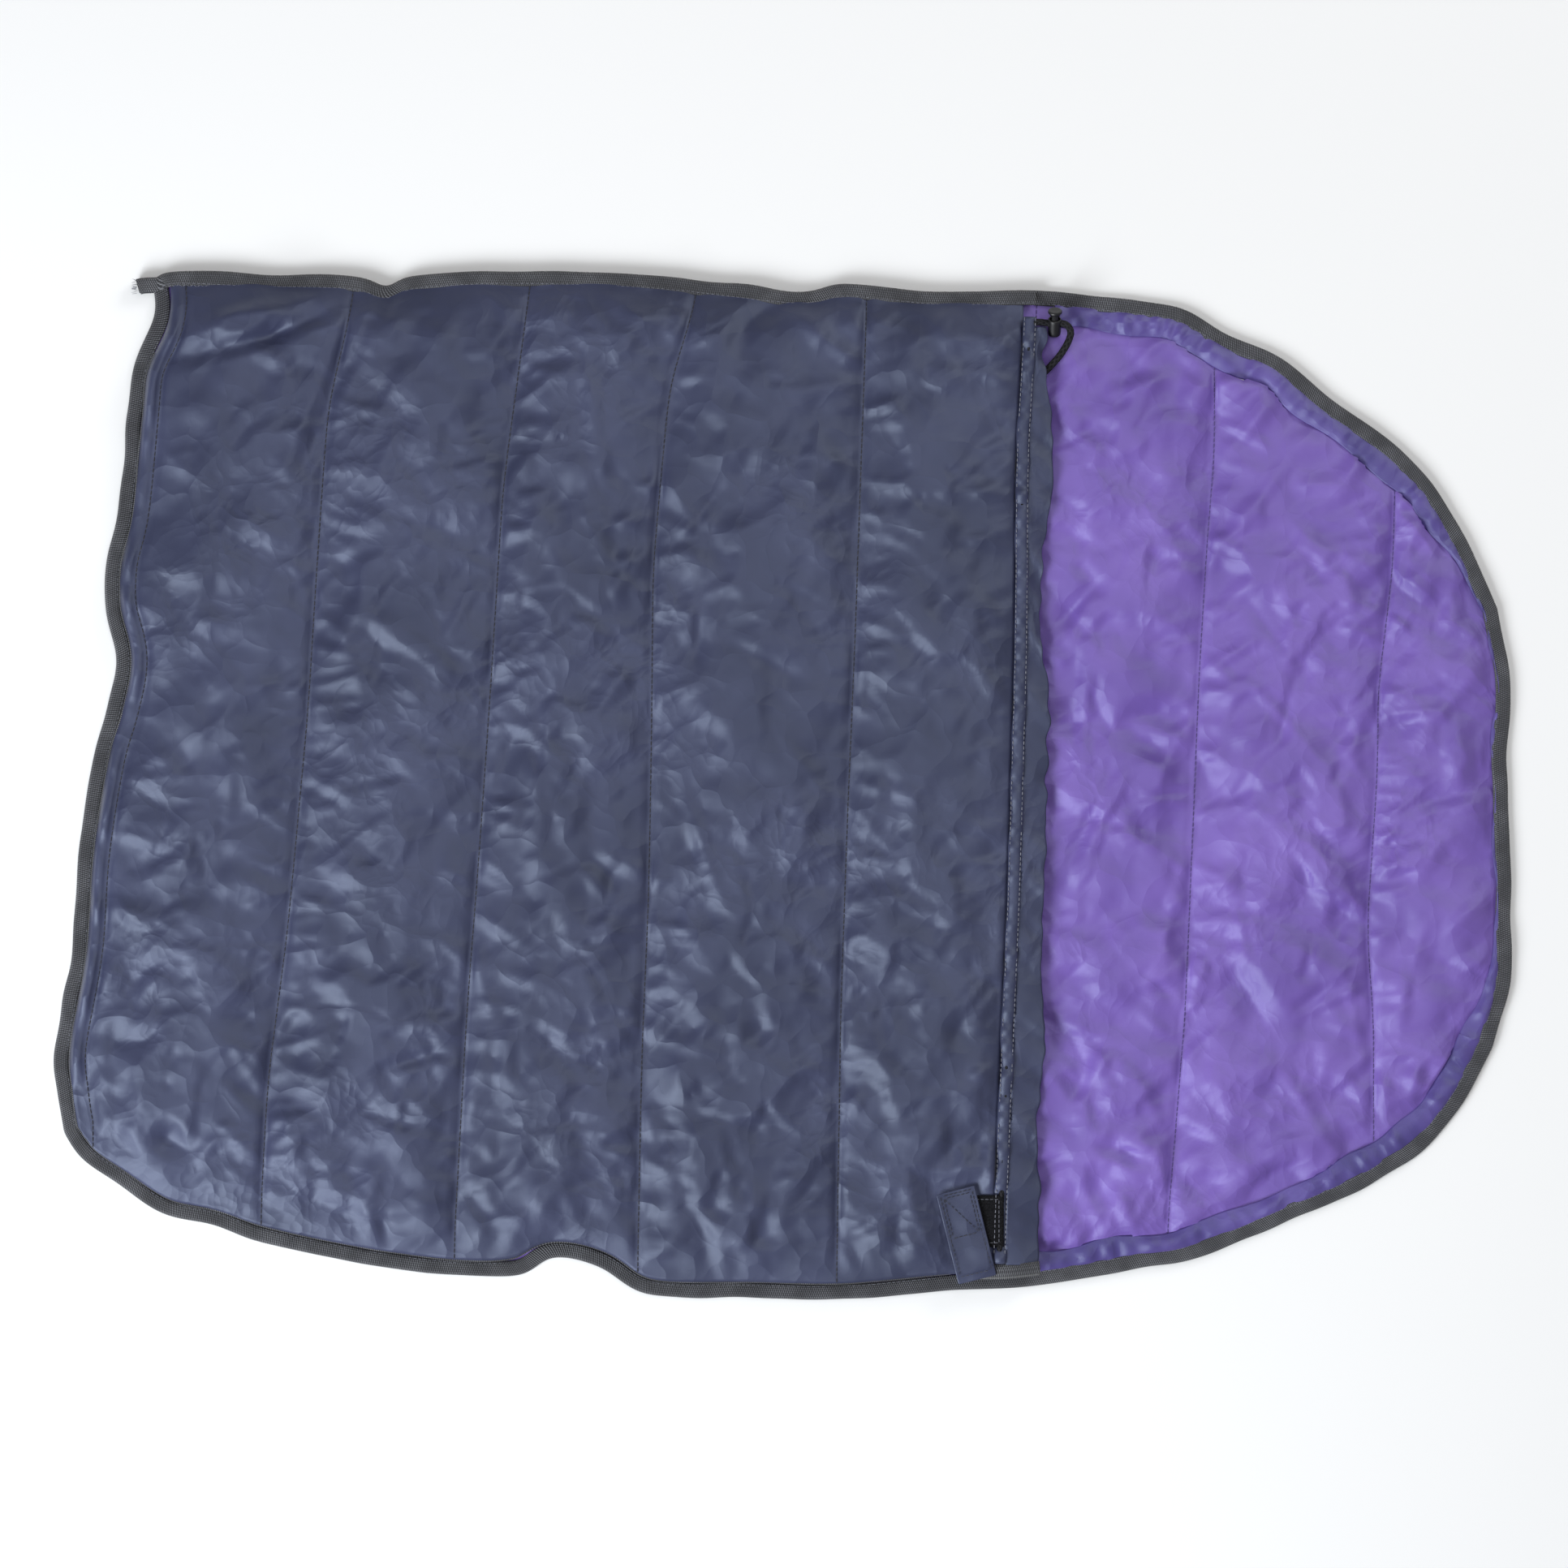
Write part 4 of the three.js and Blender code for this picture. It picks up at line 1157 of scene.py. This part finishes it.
def cross_rod(radius):
    """A rod along x, where the cord passes through the lock."""
    rod = turned("rod", [(0, -15), (radius, -15), (radius, 15), (0, 15)], 32)
    rod.data.transform(Matrix.Rotation(math.pi / 2, 4, "Y"))
    rod.data.transform(Matrix.Translation((0, 0, -1.2 * MM)))
    return rod


barrel = turned("lock_barrel", [
    (0, -11), (3.0, -11), (3.9, -10.6), (4.4, -9.8), (4.6, -8), (4.7, 0), (4.8, 1.8), (4.6, 2.3),
    (4.3, 2.5), (3.9, 2.4), (3.8, 2.1), (3.8, -9.8), (0, -9.8)])
cut_by(barrel, cross_rod(2.9))
rounded(barrel, 0.25)
barrel.data.transform(lock_turn)
barrel.data.materials.append(PLASTIC)
settle(barrel, "cord_lock", "black_plastic", "cord_lock_barrel")

button = turned("lock_button", [
    (0, -5), (3.3, -5), (3.6, -4.7), (3.6, 6.2), (3.9, 6.9), (4.7, 7.5), (5.0, 7.9), (5.0, 8.8),
    (4.8, 9.2), (4.3, 9.45), (3.6, 9.5), (2.6, 9.35), (0, 9.3)])
cut_by(button, block("slot", (30, 5.7, 9.3), (0, 0, 0.55)))
rounded(button, 0.2)
button.data.transform(lock_turn)
button.data.materials.append(PLASTIC)
settle(button, "lock_button", "black_plastic", "cord_lock_button")

turns = 3.5
coil_at = np.linspace(0, 1, 70)
coil_route = np.stack([2.85 * np.cos(coil_at * turns * 2 * math.pi),
                       2.85 * np.sin(coil_at * turns * 2 * math.pi), -9.2 + 3.5 * coil_at], 1)
spring = braided_tube("lock_spring", coil_route, 0.55, STEEL, 8)
spring.data.transform(lock_turn)
settle(spring, "cord_lock", "spring_steel", "cord_lock_spring")
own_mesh(spring)


# ---- stitches
def stitches(name, rows, material, pitch=4.0, length=3.0, radius=0.24):
    """Thread along rows of points: one short spindle for each stitch, all in one mesh."""
    points, faces = [], []
    sides = 5
    rings = [(0, 0.45), (0.25, 1.0), (0.75, 1.0), (1, 0.45)]
    for row in rows:
        row = np.asarray(row, float)
        run = run_of(row)
        for first in np.arange(0.5, run[-1] - length, pitch):
            ends = [np.array([np.interp(at, run, row[:, k]) for k in range(3)])
                    for at in (first, first + length)]
            along = (ends[1] - ends[0]) / max(np.linalg.norm(ends[1] - ends[0]), 1e-6)
            side = np.cross(along, (0, 0, 1.0))
            side /= max(np.linalg.norm(side), 1e-6)
            top = np.cross(side, along)
            base = len(points)
            for share, fat in rings:
                centre = ends[0] * (1 - share) + ends[1] * share
                for k in range(sides):
                    a = 2 * math.pi * k / sides
                    points.append(centre + radius * fat * (math.cos(a) * side + math.sin(a) * top))
            faces += loft_faces(len(rings), sides, base)
    return dressed(new_mesh(name, points, faces), material)


def seam_rows(grid, kept, lift):
    """The rows of points on a grid's seams, a little clear of its cloth."""
    return [grid[k] + np.array([0, 0, lift]) for k in kept[1:-1]]


# The cover's seam thread is thick, dark and nearly unbroken. It is real stitching, and it also stands in
# as painted shade for the dark line in each seam's valley.
cover_rows = seam_rows(shell_grid, shell_kept, 0.25)
cover_stitches_and_seam_shade = stitches("cover_seam_stitches_and_painted_shade", cover_rows, DARK_THREAD, 4, 3.3, 0.42)
across_hinge(cover_stitches_and_seam_shade, "shell_cloth")
lining_rows = seam_rows(lining_grid, lining_kept, 0.25)
lining_stitches = stitches("lining_seam_stitches", lining_rows, VIOLET_THREAD, 4, 3.3, 0.4)
settle(lining_stitches, "root", "lining_cloth")
inner_rows = seam_rows(inner_grid, inner_kept, -0.15)
inner_stitches = stitches("inner_seam_stitches", inner_rows, VIOLET_THREAD, 4, 3.3, 0.35)
across_hinge(inner_stitches, "lining_cloth")
under_rows = seam_rows(under_grid, under_kept, -0.15)
under_stitches = stitches("under_seam_stitches", under_rows, DARK_THREAD, radius=0.2)
settle(under_stitches, "root", "shell_cloth")


def along_path(path, across, inset, z):
    """A level row of points beside a path."""
    return np.concatenate([path + across * inset, np.full((len(path), 1), z)], 1)


path, across = outline_run(foot_top, fold_joint)
fold_path, fold_across = outline_run(fold_joint, fold_tail)
tape_stitches = stitches("tape_stitches", [
    along_path(path, across, 9.6, 5.5), along_path(fold_path, fold_across, 9.4, 10.3)],
    PALE_THREAD, 3.6, 2.6, 0.2)
settle(tape_stitches, "root", "edge_webbing")

rng = np.random.default_rng(81)
frayed = [[(-462.5, y, z), (-462.5 - rng.uniform(4, 9), y + rng.normal(0, 3), z - rng.uniform(0, 3))]
          for y, z in zip(rng.uniform(351, 360, 16), rng.uniform(2, 9.5, 16))]
loose_ends = stitches("frayed_end", frayed, PALE_THREAD, 90, 3.8, 0.14)
settle(loose_ends, "root", "edge_webbing")
zigzag = [(float(at), float(edge("fold", 10.2 + 1.7 * (k % 2))(at)), 10.35)
          for k, at in enumerate(np.arange(-448, -330, 2.6))]
zigzag_stitches = stitches("zigzag_stitches", zip(zigzag[:-1], zigzag[1:]), PALE_THREAD, 90, 2.3, 0.22)
settle(zigzag_stitches, "root", "edge_webbing")

casing_rows = [along_path(mouth_line[:-2], mouth_across[:-2], inset, 21.1)
               for inset in (0.9, CASING_WIDTH - 0.9)]
casing_stitches = stitches("casing_stitches", casing_rows, PALE_THREAD, 3.6, 2.5, 0.32)
settle(casing_stitches, "cover", "shell_cloth")

# ---- tab and patch
tab_turn = Matrix.Translation(Vector((TAB_HINGE[0], TAB_HINGE[1], 0)) * MM) @ Matrix.Rotation(
    TAB_LEAN, 4, "Z")
v = np.linspace(-3, TAB_SIZE[1], 45)
u = np.linspace(-TAB_SIZE[0] / 2, TAB_SIZE[0] / 2, 21)
uu, vv = np.meshgrid(u, v, indexing="ij")
height = 23.3 + 0.25 * ripple(uu, vv, 24, 61) - 3.0 * (1 - ease(vv, -3, 7))
tab = cloth_piece("tab_cloth", np.stack([uu, vv, height], -1), np.stack([uu, vv], -1), SLATE, 1.0)
tab.data.transform(tab_turn)
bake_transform(tab)
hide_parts("tab_strap")


def box_rows(width, low, high, z, diagonal=True):
    """Rows of stitches round a box, and across it if asked."""
    corners = [(-width, low), (width, low), (width, high), (-width, high), (-width, low)]
    rows = [[(*a, z), (*b, z)] for a, b in zip(corners[:-1], corners[1:])]
    if diagonal:
        rows.append([(-width, high, z), (width, low, z)])
    return rows


tab_rows = box_rows(11.5, 2, 61, 23.75, False) + box_rows(9.5, 30, 59, 23.75)
tab_stitches = stitches("tab_stitches", tab_rows, DARK_THREAD, 3.4, 2.7, 0.24)
tab_stitches.data.transform(tab_turn)
settle(tab_stitches, "tab", "shell_cloth")


def pad(name, width, low, high, z, thickness, material, roughen, seed):
    """A thin plate with rounded corners and a fuzzy top."""
    columns = round(width / 0.7)
    u = np.linspace(-width / 2, width / 2, columns)
    v = np.linspace(low, high, round((high - low) / 0.7))
    uu, vv = np.meshgrid(u, v, indexing="ij")
    rim = np.minimum(width / 2 - np.abs(uu), np.minimum(vv - low, high - vv))
    top = z + thickness * (0.55 + 0.45 * ease(rim, 0, 1.4)) + roughen * ripple(uu, vv, 2.2, seed)
    return cloth_piece(name, np.stack([uu, vv, top], -1), np.stack([uu, vv], -1), material,
                       thickness * 0.7, 0)


PATCH_PLACE = Matrix.Translation(Vector((*PATCH_CENTRE, 0)) * MM)
patch = pad("loop_patch_pile", 38, -18.5, 18.5, 19.9, 1.3, LOOPS, 0.12, 62)
patch.data.transform(PATCH_PLACE)
settle(patch, "cover", "loop_pile", "loop_patch")
patch_rows = box_rows(15.5, -15.5, 15.5, 21.35, False)
patch_stitches = stitches("patch_stitches", patch_rows, PALE_THREAD, 3.4, 2.5, 0.2)
patch_stitches.data.transform(PATCH_PLACE)
settle(patch_stitches, "cover", "loop_pile")


def hook_patch(name, width, low, high, z):
    """A plate with rows of small hooks that face down."""
    rings = ((0, 0, 0.22), (0.4, 0, 0.2), (0.75, 0.15, 0.17), (0.8, 0.45, 0.1))
    points, faces = [], []
    for a in np.arange(-width / 2 + 0.8, width / 2 - 0.4, 1.3):
        for b in np.arange(low + 0.8, high - 0.4, 1.3):
            faces += loft_faces(len(rings), 5, len(points), True)
            for share, lean, fat in rings:
                for turn in np.linspace(0, 2 * math.pi, 5, endpoint=False):
                    points.append((a + fat * math.cos(turn), b + lean + fat * math.sin(turn), z - share))
    hooks = new_mesh(name + "_hooks", points, faces)
    hooks.data.materials.append(HOOKS)
    backing = block(name, (width, high - low, 0.5), (0, (low + high) / 2, z + 0.2))
    backing.data.materials.append(HOOKS)
    rounded(backing, 0.2)
    return hooks, backing


hooks, backing = hook_patch("hook_patch", 20, 31, 61, 22.0)
for piece in (hooks, backing):
    piece.data.transform(tab_turn)
    settle(piece, "tab", "hook_pile")
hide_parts("tab_hook_patch")

# ---- zip
tape_side = [(0.3, 0.7), (4.5, 0.7), (6.8, 3.0), (9.0, 5.4), (14, 5.4)]
coil_arch = [(0.0, 0.45), (-1.4, 0.35), (-2.6, 0.6), (-3.1, 1.2), (-2.6, 1.9), (-1.4, 2.3), (0.0, 2.3)]
COIL_PITCH = 1.6
for side, body, extra, tape_node, teeth_node in (
        (1, "cover", -2, "zip_tape_cover", "zip_teeth_cover"),
        (-1, "root", 16.5, "zip_tape_base", "zip_teeth_base")):
    path, across = zip_path(extra + (5.5 if side < 0 else 0))
    section = thick_line([(a, ZIP_MID + side * b) for a, b in tape_side], 0.5)
    tape = band(tape_node + "_weave", path, across, section, ZIP_TAPE)
    settle(tape, body, "zip_tape", tape_node)
    path, across = zip_path(extra)
    run = run_of(path)
    points, faces = [], []
    for at in np.arange(1.2 + 0.8 * (side > 0), run[-1] - 1, COIL_PITCH):
        centre = np.array([np.interp(at, run, path[:, k]) for k in (0, 1)])
        inward = np.array([np.interp(at, run, across[:, k]) for k in (0, 1)])
        ahead = np.array([inward[1], -inward[0]])
        faces += loft_faces(len(coil_arch), 4, len(points), side < 0)
        for k, (a, b) in enumerate(coil_arch):
            fat = 0.5 if k in (2, 3, 4) else 0.36
            for da, dl in ((0.3, 0), (0, fat), (-0.3, 0), (0, -fat)):
                place = centre + inward * (a * 0.95 - 0.35 + da) + ahead * dl
                points.append((*place, ZIP_MID + side * b))
    coil = dressed(new_mesh(teeth_node + "_coil", points, faces), COIL)
    settle(coil, body, "zip_coil", teeth_node)


def softened(node_name, body, material, slot, width=0.35):
    """A CAD piece with its corners rounded."""
    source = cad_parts[node_name]
    made = source.copy()
    made.data = source.data.copy()
    for key in list(made.keys()):
        del made[key]
    made.parent = None
    made.name = node_name + "_cast"
    bpy.context.scene.collection.objects.link(made)
    made.data.materials.clear()
    made.data.materials.append(material)
    welded = made.modifiers.new("weld", "WELD")
    welded.merge_threshold = 0.00002
    rounded(made, width)
    settle(made, body, slot, node_name)


for node_name, body, width in (
        ("zip_slider", "zip_slider", 0.3), ("zip_pull", "zip_pull", 0.3), ("zip_box", "root", 0.5),
        ("zip_pin", "cover", 0.4), ("zip_top_stop", "root", 0.4)):
    softened(node_name, body, GUNMETAL, "zip_metal", width)

# ---- floor
floor = block("floor", (9000, 9000, 10), (0, 0, -5.3))
paper = surface("floor_paper", (0.93, 0.93, 0.93), 0.9)
into(paper, "Normal", bump(paper, noise(paper, by_object(paper), 60.0), 0.0002, 0.2))
floor.data.materials.append(paper)
